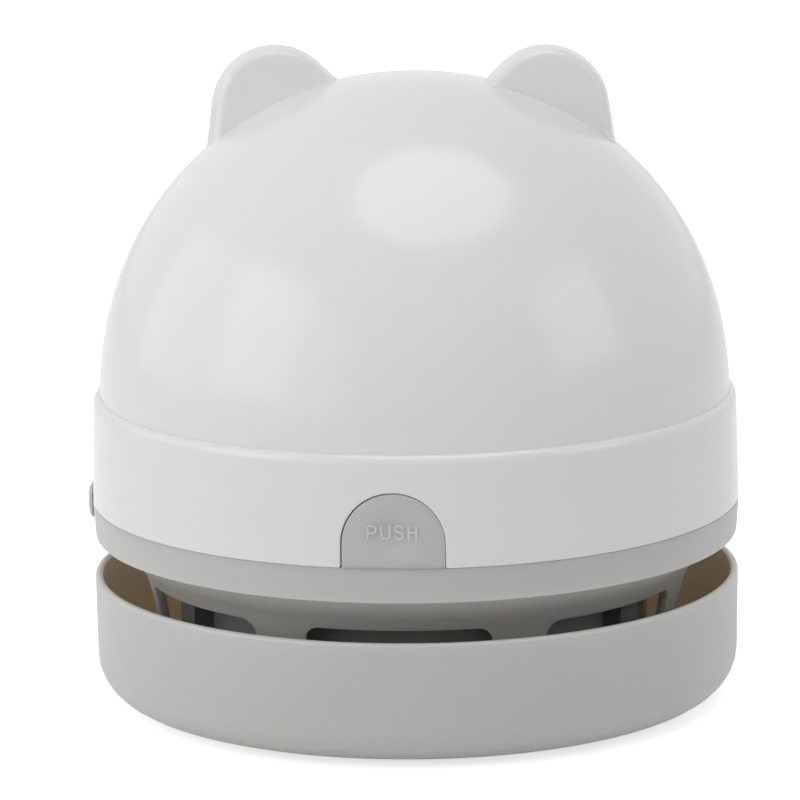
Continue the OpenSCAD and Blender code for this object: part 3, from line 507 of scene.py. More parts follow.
cup_low, cup_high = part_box("dust_cup")
cup_wall, cup_floor_t, cup_edge = 1.5 * mm, 1.2 * mm, 0.3 * mm
cup_r, cup_in_r = cup_high.x, cup_high.x - cup_wall
cup_hole_r = tube_r + 0.1 * mm
cup_floor = cup_low.z + 3.2 * mm
cup_corners = [
    (cup_hole_r, cup_floor, cup_edge),
    (cup_in_r, cup_floor, 0.4 * mm),
    (cup_in_r, cup_low.z, cup_edge),
    (cup_r, cup_low.z, cup_edge),
    (cup_r, cup_high.z, cup_edge),
    (cup_in_r, cup_high.z, cup_edge),
    (cup_in_r, cup_floor + cup_floor_t, 2.5 * mm),
    (cup_hole_r, cup_floor + cup_floor_t, cup_edge),
]
smoked = Finish("smoked_clear_plastic", IOR=1.5, Transmission_Weight=0.15)
haze = smoked.step(smoked.noise(90, 4), -0.1, 0.35)
fine_marks = smoked.noise(900, 3, smoked.stretched(1, 1, 0.1))
smoked.wear(
    Base_Color=smoked.mix((0.34, 0.345, 0.355), (0.45, 0.455, 0.465), haze),
    Roughness=0.3 + haze * 0.14 + fine_marks * 0.08,
    Normal=smoked.bump(fine_marks, 0.000008),
)
fit(revolve("cup", rounded(cup_corners, 4)), "dust_unit", "smoked_cup", smoked, "dust_cup")


def rubber(name, colour):
    """Soft rubber: matt, with a dusting of paler bloom and a fine texture."""
    made = Finish(name, Specular_IOR_Level=0.35)
    bloom = made.step(made.noise(420, 4), 0.0, 0.35)
    return made.wear(
        Base_Color=made.mix(colour, tuple(c * 1.9 for c in colour), bloom * 0.5),
        Roughness=0.72 + bloom * 0.15,
        Normal=made.bump(made.noise(3200, 2), 0.00002),
    )


def dress(finish, *nodes):
    """Puts a material on solids that are shown as they are."""
    for node in nodes:
        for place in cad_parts[node].material_slots:
            place.material = finish.material


dress(rubber("black_rubber", (0.018, 0.018, 0.019)), "cup_seal")
dress(rubber("grey_rubber", (0.15, 0.152, 0.158)), "cup_bumpers")

# ---------- Brushes ----------
# Two straight strips beside the mouth: dark nylon bristles crimped into a plastic back, which
# presses into its channel from below. The bristles splay a little and just touch the desk.


class Growth(Tree):
    """Geometry grown by nodes from the points of a mesh, with named sizes as its inputs."""

    def __init__(self, name, **sizes):
        group = bpy.data.node_groups.new(name, "GeometryNodeTree")
        super().__init__(group)
        for way in ("INPUT", "OUTPUT"):
            group.interface.new_socket("Points", in_out=way, socket_type="NodeSocketGeometry")
        self.values = {}
        for key, value in sizes.items():
            kind = "NodeSocketInt" if isinstance(value, int) else "NodeSocketFloat"
            name = key.replace("_", " ")
            socket = group.interface.new_socket(name, in_out="INPUT", socket_type=kind)
            self.values[socket.identifier] = value
        self.given = group.nodes.new("NodeGroupInput")

    def size(self, name):
        """One of the tree's named inputs."""
        return Value(self, self.given.outputs[name])

    def plant(self, shape, **sockets):
        """Sets a shape on each of the points."""
        sockets = {"Points": self.size("Points"), "Instance": shape, **sockets}
        return self.node("GeometryNodeInstanceOnPoints", {}, sockets)

    def grown(self, name, points, shape, finish):
        """The plain mesh that the tree makes from points."""
        real = self.node("GeometryNodeRealizeInstances", {}, {0: shape})
        sockets = {"Geometry": real, "Material": finish.material}
        made = self.node("GeometryNodeSetMaterial", {}, sockets)
        self.tree.links.new(made.socket, self.tree.nodes.new("NodeGroupOutput").inputs[0])
        obj = thing(name, points)
        step = obj.modifiers.new("growth", "NODES")
        step.node_group = self.tree
        for key, value in self.values.items():
            step[key] = value
        return settle(obj)


nylon = Finish("dark_nylon_bristle", Specular_IOR_Level=0.55)
# The bristles' colour runs from paler at the tips to darker up at the roots.
rise_to_root = nylon.step(nylon.height(), 0.0002, 0.0022)
nylon.wear(
    Base_Color=nylon.mix((0.10, 0.10, 0.105), (0.02, 0.02, 0.022), rise_to_root),
    Roughness=0.42 + nylon.noise(1500, 2) * 0.2,
)
brush_back_t, desk_gap = 2.0 * mm, 0.12 * mm
bristle_root = z_under + brush_depth - brush_back_t
bristles = Growth(
    "bristle_strip",
    Bristle_length=bristle_root - desk_gap,
    Bristle_radius=0.11 * mm,
    Splay=0.16,
    Seed=7,
)
line = {"Start": (0, 0, 0), "Direction": (0, 0, -1), "Length": bristles.size("Bristle length")}
shaft = bristles.node("GeometryNodeCurvePrimitiveLine", {"mode": "DIRECTION"}, line)
shaft = bristles.node("GeometryNodeResampleCurve", {}, {"Curve": shaft, "Count": 3})
circle = {"Resolution": 5, "Radius": bristles.size("Bristle radius")}
section = bristles.node("GeometryNodeCurvePrimitiveCircle", {}, circle)
sweep = {"Curve": shaft, "Profile Curve": section, "Fill Caps": True}
strand = bristles.node("GeometryNodeCurveToMesh", {}, sweep)
any_way = {0: (-1, -1, -3), 1: (1, 1, 3), "Seed": bristles.size("Seed")}
lean = bristles.node("FunctionNodeRandomValue", {"data_type": "FLOAT_VECTOR"}, any_way)
splayed = {0: lean, "Scale": bristles.size("Splay")}
lean = bristles.node("ShaderNodeVectorMath", {"operation": "SCALE"}, splayed)
shorter = {2: 0.88, 3: 1.0, "Seed": 3}
trim = bristles.node("FunctionNodeRandomValue", {"data_type": "FLOAT"}, shorter, 1)
planted = bristles.plant(strand, Rotation=lean, Scale=trim)
tufts, rows_of_tufts, strands = 26, 2, 7
spread, row_gap = 0.42 * mm, 1.3 * mm
pitch = (2 * brush_high.x - 2 * mm) / (tufts - 1)
turns = [math.tau * j / (strands - 1) for j in range(strands - 1)]
tuft = [Vector((math.cos(a), math.sin(a), 0)) * spread for a in turns]
roots = []
for side in (-1, 1):
    for i in range(tufts):
        for k in range(rows_of_tufts):
            y = side * brush_y + (k - 0.5) * row_gap
            centre = Vector((-brush_high.x + mm + i * pitch, y, bristle_root))
            roots += [centre, *(centre + step for step in tuft)]
hairs = bristles.grown("bristles", roots, planted, nylon)
fit(clean(hairs), "dust_unit", "bristle", nylon, "brush_strips")
z_back = bristle_root - 0.1 * mm
backs = [channel(0, z_back, z_under + brush_depth, s, 0.2 * mm) for s in (-1, 1)]
black_back = moulded("black_moulded_plastic", (0.022, 0.022, 0.023), 0.5)
fit(merged("brush_backs", backs), "dust_unit", "bristle", black_back)

# ---------- Glide feet ----------
# Four dark rubber discs, glued into shallow recesses under the bowl. They keep its edge
# 0.7 mm off the desk, so that air can run in under it.

feet = drums(foot_at, foot_place_r, foot_r, 0, z_under + foot_recess, 0.2 * mm)
dark_rubber = rubber("dark_rubber", (0.035, 0.035, 0.036))
fit(merged("feet", feet), "dust_unit", "rubber", dark_rubber, "glide_feet")

# ---------- Screws ----------
# Pan-head screws of 2 mm join everything: from below into the neck, through the lugs of the
# ring and the plate into the chassis, and through the chassis into the dome. All are zinc
# plated steel with a cross recess and a cut thread.


def grained(name, dark, light, grain, rough, depth, along=None, **fixed):
    """Finish whose colour, gloss and relief all follow one fine grain, which may run one way.
    grain is its scale and detail, rough its roughness and how far that drifts."""
    made = Finish(name, **fixed)
    shade = made.noise(*grain, made.stretched(*along) if along else None)
    made.wear(Base_Color=made.mix(dark, light, shade + 0.5), Roughness=rough[0] + shade * rough[1])
    return made.wear(Normal=made.bump(shade, depth)) if depth else made


plated = grained(
    "zinc_plated_steel", (0.46, 0.46, 0.47), (0.66, 0.66, 0.67), (1400, 4), (0.34, 0.25),
    0.000006, (1, 1, 0.2), Metallic=1.0,
)
thread_pitch = 0.7 * mm
shank_r = 0.95 * mm
cross_w, cross_t, cross_depth = 0.99 * mm, 0.24 * mm, 0.5 * mm


def screw_template(length):
    """One screw with its head's seat at the origin, its shank up and its head below."""
    teeth = [(0, length, 0), (shank_r * 0.6, length, 0)]
    for k in range(int(length / thread_pitch)):
        z = length - k * thread_pitch
        teeth.append((shank_r, z - thread_pitch * 0.45, 0))
        teeth.append((shank_r * 0.78, z - thread_pitch * 0.95, 0))
    head = [
        (shank_r * 0.8, 0, 0),
        (head_r, 0, 0.12 * mm),
        (head_r, -0.55 * mm, 0.3 * mm),
        (head_r * 0.72, -head_h, 0.4 * mm),
        (0, -head_h, 0),
    ]
    screw = revolve("screw", rounded(teeth + head, 3, False), 20, False)
    low, high = (-cross_w, -cross_t, -2 * mm), (cross_w, cross_t, cross_depth - head_h)
    return combine(screw, [turned(block(low, high), a) for a in (0, 90)], "DIFFERENCE")


def screws(node, body, angles, radius, z, length):
    """Screws that point up, on a circle, each turned a little further than the last."""
    template = screw_template(length)
    places = [at(a, radius, z) for a in angles]
    growth = Growth("screw_set", Turn=2.4)
    shape = growth.node("GeometryNodeObjectInfo", {}, {"Object": template}, "Geometry")
    number = growth.node("GeometryNodeInputIndex")
    turn = growth.node("ShaderNodeCombineXYZ", {}, {"Z": number * growth.size("Turn")})
    made = growth.grown(node + "_set", places, growth.plant(shape, Rotation=turn), plated)
    bpy.data.objects.remove(template)
    fit(clean(made), body, "screw_steel", plated, node)


z_lug_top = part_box("lower_ring")[1].z
z_lug = z_lug_top - 1.15 * mm
lug_at, lug_place_r = (45, 165, 285), 37.47 * mm
boss_at, boss_place_r, z_chassis = (0, 120, 240), 36.47 * mm, 34.5 * mm
screws("neck_screws", "dust_unit", neck_screw_at, neck_screw_r, z_under + head_h, 7 * mm)
screws("ring_screws", "power_head", lug_at, lug_place_r, z_lug, 5.65 * mm)
screws("plate_screws", "power_head", (60, 180, 300), 35 * mm, 25 * mm, 5.9 * mm)
screws("chassis_screws", "power_head", boss_at, boss_place_r, z_chassis, 10 * mm)

# ---------- Filter ----------
# A dark frame like a small wheel plugs into the underside of the intake plate and hangs in
# the cup. A woven filter cloth of white nylon thread is moulded into its rim.

cloth_low, cloth_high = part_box("filter_mesh")
cloth_z = (cloth_low.z + cloth_high.z) / 2
thread_r = 0.075 * mm
weave = 1.0 * mm
white_thread = Finish("white_nylon_thread", Sheen_Weight=0.3)
dust = white_thread.step(white_thread.noise(260, 4), 0.0, 0.4)
white_thread.wear(
    Base_Color=white_thread.mix((0.78, 0.78, 0.76), (0.55, 0.53, 0.49), dust),
    Roughness=0.6 + dust * 0.2,
)


def crossing(stations=5):
    """One crossing of the weave: a thread along X that passes over one along Y."""
    points, faces = [], []
    for over in (True, False):
        first = len(points)
        for i in range(stations):
            t = i / (stations - 1) - 0.5
            lift = thread_r * math.cos(math.pi * t) * (1 if over else -1)
            for k in range(4):
                a = math.pi / 4 + k * math.pi / 2
                side, up = thread_r * math.cos(a), thread_r * math.sin(a) + lift
                points.append((t * weave, side, up) if over else (side, t * weave, up))
        for i in range(stations - 1):
            for k in range(4):
                a, b = first + i * 4 + k, first + i * 4 + (k + 1) % 4
                faces.append((a, b, b + 4, a + 4) if over else (b, a, a + 4, b + 4))
    return thing("crossing", points, faces)


template = crossing()
cloth = Growth("woven_cloth", Thread_pitch=weave)
knot = cloth.node("GeometryNodeObjectInfo", {}, {"Object": template}, "Geometry")
position = cloth.node("GeometryNodeInputPosition")
spot = cloth.node("ShaderNodeSeparateXYZ", {}, {"Vector": position})
odd = spot.math("PINGPONG", (spot + spot.also(1)) / cloth.size("Thread pitch"), 1.0)
flip = cloth.node("ShaderNodeCombineXYZ", {}, {"X": odd * math.pi})
reach = range(-int(cloth_high.x / weave), int(cloth_high.x / weave) + 1)
cells = [Vector((i * weave, k * weave, cloth_z)) for i in reach for k in reach]
cells = [c for c in cells if c.xy.length < cloth_high.x - 0.6 * weave]
netting = cloth.grown("filter_cloth", cells, cloth.plant(knot, Rotation=flip), white_thread)
bpy.data.objects.remove(template)
fit(clean(netting, 80), "filter_unit", "filter_fabric", white_thread, "filter_mesh")
dress(moulded("dark_moulded_plastic", (0.035, 0.035, 0.037), 0.42), "filter_frame")

# ---------- Dome ----------
# The head's cover: a white shell 2 mm thick, moulded in one piece with two round ears. Its
# spigot plugs into the band, and three bosses inside it take the screws from the chassis.

dome_r = 43.84 * mm
dome_wall = 2 * mm
dome_base = 42.55 * mm
dome_rise = 44.93 * mm
dome_shape = 2.063
z_dome = 43.68 * mm
z_band = 43.45 * mm
shell_in_r = 43.27 * mm
spigot_low = z_band - 3.4 * mm
spigot_r = shell_in_r - 0.1 * mm
inner_r = dome_r - dome_wall
z_chassis_top = z_chassis + 2 * mm
dome_boss_r, dome_boss_h = 2.9 * mm, 22 * mm
dome_pilot_r, dome_pilot_depth = 0.8 * mm, 10 * mm
web_half, webs = 0.7 * mm, ((42.4 * mm, 14 * mm), (40.6 * mm, 20 * mm))
socket_room = 5.47 * mm
white = (0.79, 0.792, 0.80)
gloss = {"drift": 0.012, "grain": 0.000008, "scuff": 0.015}
white_plastic = moulded("white_moulded_plastic", white, 0.165, **gloss)


def dome_point(angle):
    """Radius and height on the dome's face at an angle up from its foot."""
    wide, high = (side ** (2 / dome_shape) for side in (math.cos(angle), math.sin(angle)))
    return Vector((dome_r * wide, dome_base + dome_rise * high))


def ball(radius, steps=40):
    """Half outline of the dome's hollow, from its foot up to its top."""
    angles = [math.pi / 2 * k / steps for k in range(1, steps)]
    path = [Vector((radius * math.cos(a), z_dome + radius * math.sin(a))) for a in angles]
    return [*path, Vector((0, z_dome + radius))]


dome_sweep, dome_steps = 0.984, 96
turns = [math.pi / 2 * (1 - k / dome_steps * dome_sweep) for k in range(dome_steps + 1)]
dome_path = [dome_point(a) for a in turns]
dome_path = [q for q in dome_path if q.y > z_dome]
dome_path[0].x = 0
foot = [
    (*dome_path[-1], 0),
    (dome_r, z_band, 0),
    (spigot_r, z_band, 0),
    (spigot_r, spigot_low, 0.3 * mm),
    (inner_r, spigot_low, 0.3 * mm),
    (inner_r, z_dome, 0),
]
dome = revolve("dome", dome_path + rounded(foot, 4, False)[1:] + ball(inner_r), 256, False)

ear_x, ear_z, ear_r = 18.8 * mm, 82.5 * mm, 8.8 * mm
ear_y, ear_t = -0.7 * mm, 4.6 * mm
ear_tilt, ear_splay = math.radians(19.3), math.radians(27.5)
ear_turn, ear_lean, ear_offset = math.radians(10), math.radians(-9), -0.2 * mm
ear_taper, ear_edge, ear_back_edge, ear_crown = 0.6 * mm, 1.2 * mm, 1.5 * mm, 0.12 * mm
ear_middle = Vector((ear_x, ear_z))
ear_axis = Vector((math.sin(ear_tilt), math.cos(ear_tilt)))
ear_side = Vector((math.cos(ear_tilt), -math.sin(ear_tilt)))


def quarter(steps):
    """A rounded edge's quarter turn, as pairs of shares that run from (1, 0) to (0, 1)."""
    turns = [math.pi / 2 * k / steps for k in range(steps + 1)]
    return [(1 - math.sin(a), 1 - math.cos(a)) for a in turns]


def outside(spot):
    """Whether a point from the front lies outside the dome."""
    wide, high = spot.x / dome_r, (spot.y - dome_base) / dome_rise
    return wide**dome_shape + high**dome_shape > 1


def ear_foot(start, way, fillet):
    """Runs a side of an ear from a point into the dome, with a fillet where it lands."""
    landing = start
    while outside(landing):
        landing = landing + way * 0.05 * mm
    out = Vector((landing.x, landing.y - z_dome)).normalized()
    along = (way - out * way.dot(out)).normalized()
    end = landing + along * fillet * 0.9 - out * 0.4 * mm
    path = rounded([(*start, 0), (*landing, fillet), (*end, 0)], 5, False)
    return [*path, end - out * 6 * mm]


def ear_outline(inset, steps=40):
    """The right ear's outline from the front: an arc over two sides that splay into the dome."""
    turns = [ear_splay + (math.pi - 2 * ear_splay) * k / steps for k in range(steps + 1)]
    ways = [ear_side * math.cos(a) + ear_axis * math.sin(a) for a in turns]
    arc = [ear_middle + way * (ear_r - inset) for way in ways]
    down, across = -math.cos(ear_splay) * ear_axis, math.sin(ear_splay) * ear_side
    outer_foot = ear_foot(arc[0], down + across, 1.4 * mm)
    inner_foot = ear_foot(arc[-1], down - across, 0.8 * mm)
    return [*reversed(outer_foot), *arc[1:-1], *inner_foot]


def ear(side):
    """One ear, closed, with rounded edges and a faintly crowned face."""
    front = [(ear_taper + ear_edge * a, ear_edge * b) for a, b in quarter(7)]
    back = [(ear_back_edge * b, ear_t - ear_back_edge * a) for a, b in quarter(7)]
    face = ear_outline(front[0][0])
    rows = [[(ear_middle, -ear_crown)]]
    for share in (0.25, 0.5, 0.75):
        rows.append([(ear_middle.lerp(q, share), -ear_crown * (1 - share**2)) for q in face])
    rows += [[(q, depth) for q in ear_outline(inset)] for inset, depth in front + back]
    rows.append([(ear_middle, ear_t)])
    rows = [[Vector((side * q.x, ear_y + depth, q.y)) for q, depth in row] for row in rows]
    made = skin("ear", rows, False)
    place = Matrix.Translation((side * ear_x + ear_offset, ear_y + ear_t / 2, ear_z))
    turn = Matrix.Rotation(ear_turn, 4, "Z") @ Matrix.Rotation(ear_lean, 4, "X")
    home = Matrix.Translation((-side * ear_x, -ear_y - ear_t / 2, -ear_z))
    made.data.transform(place @ turn @ home)
    core_r = inner_r + 0.2 * mm
    core = [Vector((0, z_dome)), Vector((core_r, z_dome)), *ball(core_r)]
    return combine(made, [revolve("core", core, 128, False)], "DIFFERENCE")


combine(dome, [ear(-1), ear(1)], "UNION")
z_boss, z_pilot = z_chassis_top + dome_boss_h, z_chassis_top + dome_pilot_depth
bosses = drums(boss_at, boss_place_r, dome_boss_r, z_chassis_top, z_boss, 0.2 * mm, 32)
for a in boss_at:
    for out, high in webs:
        low_corner = (-web_half, -out, spigot_low + 0.2 * mm)
        web = block(low_corner, (web_half, -boss_place_r, z_chassis_top + high))
        bosses.append(turned(web, a))
combine(dome, bosses, "UNION")
cuts = drums(boss_at, boss_place_r, dome_pilot_r, z_chassis_top - mm, z_pilot, 0, 24)
socket_low = (-socket_room, inner_r - 4 * mm, spigot_low - mm)
cuts.append(block(socket_low, (socket_room, 45.2 * mm, 42.1 * mm)))
combine(dome, cuts, "DIFFERENCE")


def levelled(obj):
    """Weights the shading by the faces' areas, so that slivers left by cuts don't show."""
    step = obj.modifiers.new("level", "WEIGHTED_NORMAL")
    step.keep_sharp = True
    return settle(obj)


fit(levelled(clean(dome, 40)), "power_head", "white_shell", white_plastic, "dome_shell")

# ---------- Mid band ----------
# A white moulded band that holds the dome's spigot. Its lower edge is notched in an arch for
# the push tab, and it has a port at the back for the charging plug and a slot for the knob.

z_seam = 28.25 * mm
body_r = 45.1 * mm
draft = 0.33 * mm
girth = math.tau * body_r
top_edge, top_edge_high = 0.9 * mm, 1.4 * mm
foot_edge = 0.2 * mm
z_face_top = z_band - top_edge_high
tab_w, tab_h, tab_gap = 13.8 * mm, 10.07 * mm, 0.17 * mm
arch_z = z_seam + tab_h - tab_w / 2
fan_half, plain_steps = 13.5 * mm, 200
socket_w, socket_high, z_socket = 9.64 * mm, 3.86 * mm, 39.98 * mm
knob_slot = ((-47 * mm, -3.5 * mm, 27.4 * mm), (-41.27 * mm, 3.5 * mm, 28.7 * mm))


def body_at(z):
    """Outer radius of the band and tab at a height."""
    return body_r - draft * (z - z_seam) / (z_face_top - z_seam)


def round_body(u, z, depth):
    """Point u metres round from the front, at a height and a depth under the body's face."""
    return at(math.degrees(u / body_r), body_at(min(z, z_face_top)) - depth, z)


def arch(half, corner):
    """The notch from left to right: corner, side, half circle, side, corner."""
    bend = [(half + corner * a, z_seam + corner * b) for a, b in quarter(5)]
    straight = arch_z - z_seam - corner
    side = [(half, z_seam + corner + straight * k / 5) for k in range(1, 5)]
    turns = [math.pi * k / 40 for k in range(41)]
    top = [(-half * math.cos(a), arch_z + half * math.sin(a)) for a in turns]
    rise = bend + side
    return [(-x, z) for x, z in rise] + top + rise[::-1]


notch = arch(tab_w / 2 + tab_gap, 0.3 * mm)
left, right = notch[0][0], notch[-1][0]
plain = range(1, plain_steps)
path = notch + [(right + (girth + 2 * left) * k / plain_steps, z_seam) for k in plain]
before = [(path[-1][0] - girth, z_seam), *path]
after = [*path[1:], (left + girth, z_seam)]
normals = []
for (x0, z0), (x1, z1) in zip(before, after):
    run = Vector((x1 - x0, z1 - z0)).normalized()
    normals.append(Vector((-run.y, run.x)))
fanned = [-fan_half + 2 * fan_half * i / (len(notch) - 1) for i in range(len(notch))]
fanned += [fan_half + (girth - 2 * fan_half) * k / plain_steps for k in plain]


def edge_row(inset, depth):
    """Row along the band's lower edge and the notch, inset into the wall, under its face."""
    spots = zip(path, normals)
    return [round_body(x + n.x * inset, z + n.y * inset, depth) for (x, z), n in spots]


def top_row(radius, z):
    """Row along the band's top edge, fanned out over the notch."""
    return [at(math.degrees(u / body_r), radius, z) for u in fanned]


def face_row(share):
    """Row over the band's face, from its top down to the lower edge."""
    row = []
    for u, (x, z), n in zip(fanned, path, normals):
        low = Vector((x + n.x * foot_edge, z + n.y * foot_edge))
        z_here = z_face_top + (low.y - z_face_top) * share
        row.append(round_body(u + (low.x - u) * share, z_here, 0))
    return row


top_r, wall_depth, inner_edge = body_r - draft, body_r - shell_in_r, 0.1 * mm
rows = [top_row(top_r - top_edge * a, z_band - top_edge_high * b) for a, b in quarter(8)]
rows += [face_row(k / 8) for k in range(1, 8)]
rows += [edge_row(foot_edge * a, foot_edge * b) for a, b in quarter(4)]
rows.append(edge_row(0, wall_depth - foot_edge - 0.2 * mm))
wall = [(math.degrees(x / body_r), z + n.y * inner_edge) for (x, z), n in zip(path, normals)]
rows.append([at(a, shell_in_r, z) for a, z in wall])
rows.append(top_row(shell_in_r, z_band - 0.15 * mm))
rows.append(top_row(shell_in_r + 0.15 * mm, z_band))
band = skin("band", rows)


def stadium(width, height, steps=14):
    """Outline with round ends, as a charging port has."""
    half, r = (width - height) / 2, height / 2
    turns = [math.pi * k / steps for k in range(steps + 1)]
    end = [(half + r * math.sin(a), -r * math.cos(a)) for a in turns]
    return end + [(-x, -z) for x, z in end]


port = [(x, z_socket + z) for x, z in stadium(socket_w, socket_high)]
combine(band, [prism(port, 40 * mm, 48 * mm), block(*knob_slot)], "DIFFERENCE")
fit(levelled(band), "power_head", "white_shell", white_plastic, "mid_band")

# ---------- Lower ring ----------
# A grey moulded ring closes the head from below, flush with the band above it. Its foot
# turns in under the wall, and three lugs inside take the screws up into the chassis.

ring_foot, ring_in_r, foot_t = 23.43 * mm, 41.97 * mm, 1.3 * mm
lug_r = 2.3 * mm
ring_outline = [
    (ring_in_r, ring_foot, 0.3 * mm),
    (body_r - draft, ring_foot, 0.35 * mm),
    (body_r, z_seam, 0),
    (shell_in_r, z_seam, 0.2 * mm),
    (shell_in_r, ring_foot + foot_t, 0.3 * mm),
    (ring_in_r, ring_foot + foot_t, 0.3 * mm),
]
ring = revolve("ring", rounded(ring_outline, 6), 256)
for a in lug_at:
    lug = drum(lug_r, z_lug, z_lug_top, at(0, lug_place_r), 0, 32)
    arm = block((-lug_r, -43.1 * mm, z_lug), (lug_r, -lug_place_r, z_lug_top))
    root = block((-lug_r, -44 * mm, z_lug), (lug_r, -42 * mm, z_seam - 0.1 * mm))
    combine(ring, [turned(combine(lug, [arm, root], "UNION"), a)], "UNION")
holes = drums(lug_at, lug_place_r, hole_r, z_lug - mm, z_seam + mm, 0, 24)
combine(ring, [*holes, block(*knob_slot)], "DIFFERENCE")
fit(ring, "power_head", "grey_shell", grey_plastic, "lower_ring")

# ---------- Push tab ----------
# A grey tab of the ring's plastic fills the notch in the band. It flexes at its foot: a press
# on the shallow dish that holds the word swings the leg behind it off the lip of the neck.

dish_r, dish_depth, dish_z = 4.3 * mm, 0.55 * mm, arch_z + 1.4 * mm
dish_lip = 1.05
tab_half, tab_edge = tab_w / 2, 0.15 * mm
tab_arch_z = arch_z + 0.04 * mm
z_leg, leg_half = 25.2 * mm, 5.4


def tab_point(x, z, depth=0.0):
    """Point on the tab's face, dished in, and then further in by a depth."""
    far = min(1.0, math.hypot(x, z - dish_z) / dish_r)
    radius = body_at(z) - dish_depth * (1 - far**2) ** 2 - depth
    return Vector((x, -math.sqrt(radius**2 - x**2), z))


def tab_outline():
    """The outline from the middle of the foot, to the right: x, z, inward x, inward z."""
    points = [(tab_half * k / 12, z_seam, 0.0, 0.0) for k in range(12)]
    for k in range(8):
        z = z_seam + (tab_arch_z - z_seam) * k / 8
        points.append((tab_half, z, -1.0 if k else 0.0, 0.0))
    for k in range(61):
        c, s = math.cos(math.pi * k / 60), math.sin(math.pi * k / 60)
        points.append((tab_half * c, tab_arch_z + tab_half * s, -c, -s))
    return points + [(-x, z, -nx, nz) for x, z, nx, nz in reversed(points[1:20])]


outline = tab_outline()
dish = Vector((0, dish_z))
ways = [(Vector((x, z)) - dish).normalized() for x, z, nx, nz in outline]
rows = [[tab_point(0, dish_z)]]
for k in range(1, 19):
    spots = [way * (dish_r * dish_lip * k / 18) for way in ways]
    rows.append([tab_point(q.x, dish.y + q.y) for q in spots])
for k in range(1, 7):
    row = []
    for way, (x, z, nx, nz) in zip(ways, outline):
        edge = Vector((x + nx * tab_edge, z + nz * tab_edge))
        row.append(tab_point(*(dish + way * dish_r * dish_lip).lerp(edge, k / 7)))
    rows.append(row)
for a, b in quarter(4):
    row = []
    for x, z, nx, nz in outline:
        depth = tab_edge * b if nx or nz else 0
        row.append(tab_point(x + nx * tab_edge * a, z + nz * tab_edge * a, depth))
    rows.append(row)
rows.append([Vector((x, -math.sqrt(shell_in_r**2 - x**2), z)) for x, z, nx, nz in outline])
rows.append([Vector((0, -shell_in_r, arch_z))])
tab = skin("tab", rows, False)


def leg_bar(r0, r1, z0, z1, edge):
    """Part of the leg behind the tab, between two radii and two heights."""
    angles = [leg_half * (k / 4 - 1) for k in range(9)]
    return arc_bar("leg", rounded_box(r0, z0, r1, z1, edge, 3), angles)


leg = [
    leg_bar(ring_in_r, 43.4 * mm, z_seam, z_seam + 2 * mm, 0.1 * mm),
    leg_bar(ring_in_r, 42.77 * mm, z_leg, z_seam + 1.9 * mm, 0.2 * mm),
    leg_bar(41.77 * mm, 42.6 * mm, z_leg, 25.9 * mm, 0.1 * mm),
]
word_left, word_z, word_high = -3.52 * mm, 33.16 * mm, 1.8 * mm
letter_at = {"P": (0.0, 1.08), "U": (1.77, 1.12), "S": (3.57, 1.1), "H": (5.44, 1.0)}
stroke_r, stroke_rise = 0.17 * mm, 0.1 * mm
stroke_section = ((-1, 0.1), (-1, -0.6), (-0.75, -1), (0.75, -1), (1, -0.6), (1, 0.1))
letters = {
    "P": [[(0, 0), (0, 1), (0.6, 1), (0.9, 0.93), (1, 0.75), (0.9, 0.55), (0.6, 0.47), (0, 0.47)]],
    "U": [[(0, 1), (0, 0.28), (0.13, 0.07), (0.5, 0), (0.87, 0.07), (1, 0.28), (1, 1)]],
    "S": [
        [(0.97, 0.84), (0.82, 0.96), (0.5, 1), (0.15, 0.94), (0.03, 0.75), (0.15, 0.58)]
        + [(0.5, 0.5), (0.85, 0.42), (0.97, 0.24), (0.85, 0.06), (0.5, 0), (0.16, 0.05)]
        + [(0.03, 0.17)]
    ],
    "H": [[(0, 0), (0, 1)], [(1, 0), (1, 1)], [(0, 0.52), (1, 0.52)]],
}


def stroke(points):
    """A raised flat-topped line of plastic along points of (x, z) on the tab's face."""
    fine = []
    for a, b in zip(points, points[1:]):
        n = max(1, round((Vector(b) - Vector(a)).length / (0.2 * mm)))
        fine += [Vector(a).lerp(Vector(b), k / n) for k in range(n)]
    fine.append(Vector(points[-1]))
    fine[0] = fine[0] - (fine[1] - fine[0]).normalized() * stroke_r * 0.5
    fine[-1] = fine[-1] + (fine[-1] - fine[-2]).normalized() * stroke_r * 0.5
    rows = []
    for i, q in enumerate(fine):
        run = (fine[min(i + 1, len(fine) - 1)] - fine[max(i - 1, 0)]).normalized()
        side = Vector((-run.y, run.x))
        row = [tab_point(*(q + side * stroke_r * w), stroke_rise * d) for w, d in stroke_section]
        rows.append(row)
    ends = [[tab_point(*fine[0])], [tab_point(*fine[-1])]]
    return skin("stroke", [ends[0], *rows, ends[1]], False)


strokes = []
for letter, (left, wide) in letter_at.items():
    pen = word_left + stroke_r + left * mm
    for line in letters[letter]:
        points = [(pen + u * wide * mm, word_z + (v - 0.5) * word_high) for u, v in line]
        strokes.append(stroke(points))
seat = (0.08 * mm, 0, 0)
fit(shifted(merged("tab", [tab, *leg]), seat), "push_tab", "grey_shell", grey_plastic, "push_tab")
pale_grey = moulded("pale_grey_moulded_plastic", (0.625, 0.625, 0.612), 0.42)
fit(shifted(merged("push_word", strokes), seat), "push_tab", "grey_shell", pale_grey, "push_tab")

# ---------- Switch knob ----------
# A grey moulded slider cap on the left of the head, a soft long bump. Its stem goes through
# a slot over the seam and plugs onto the slide switch inside.

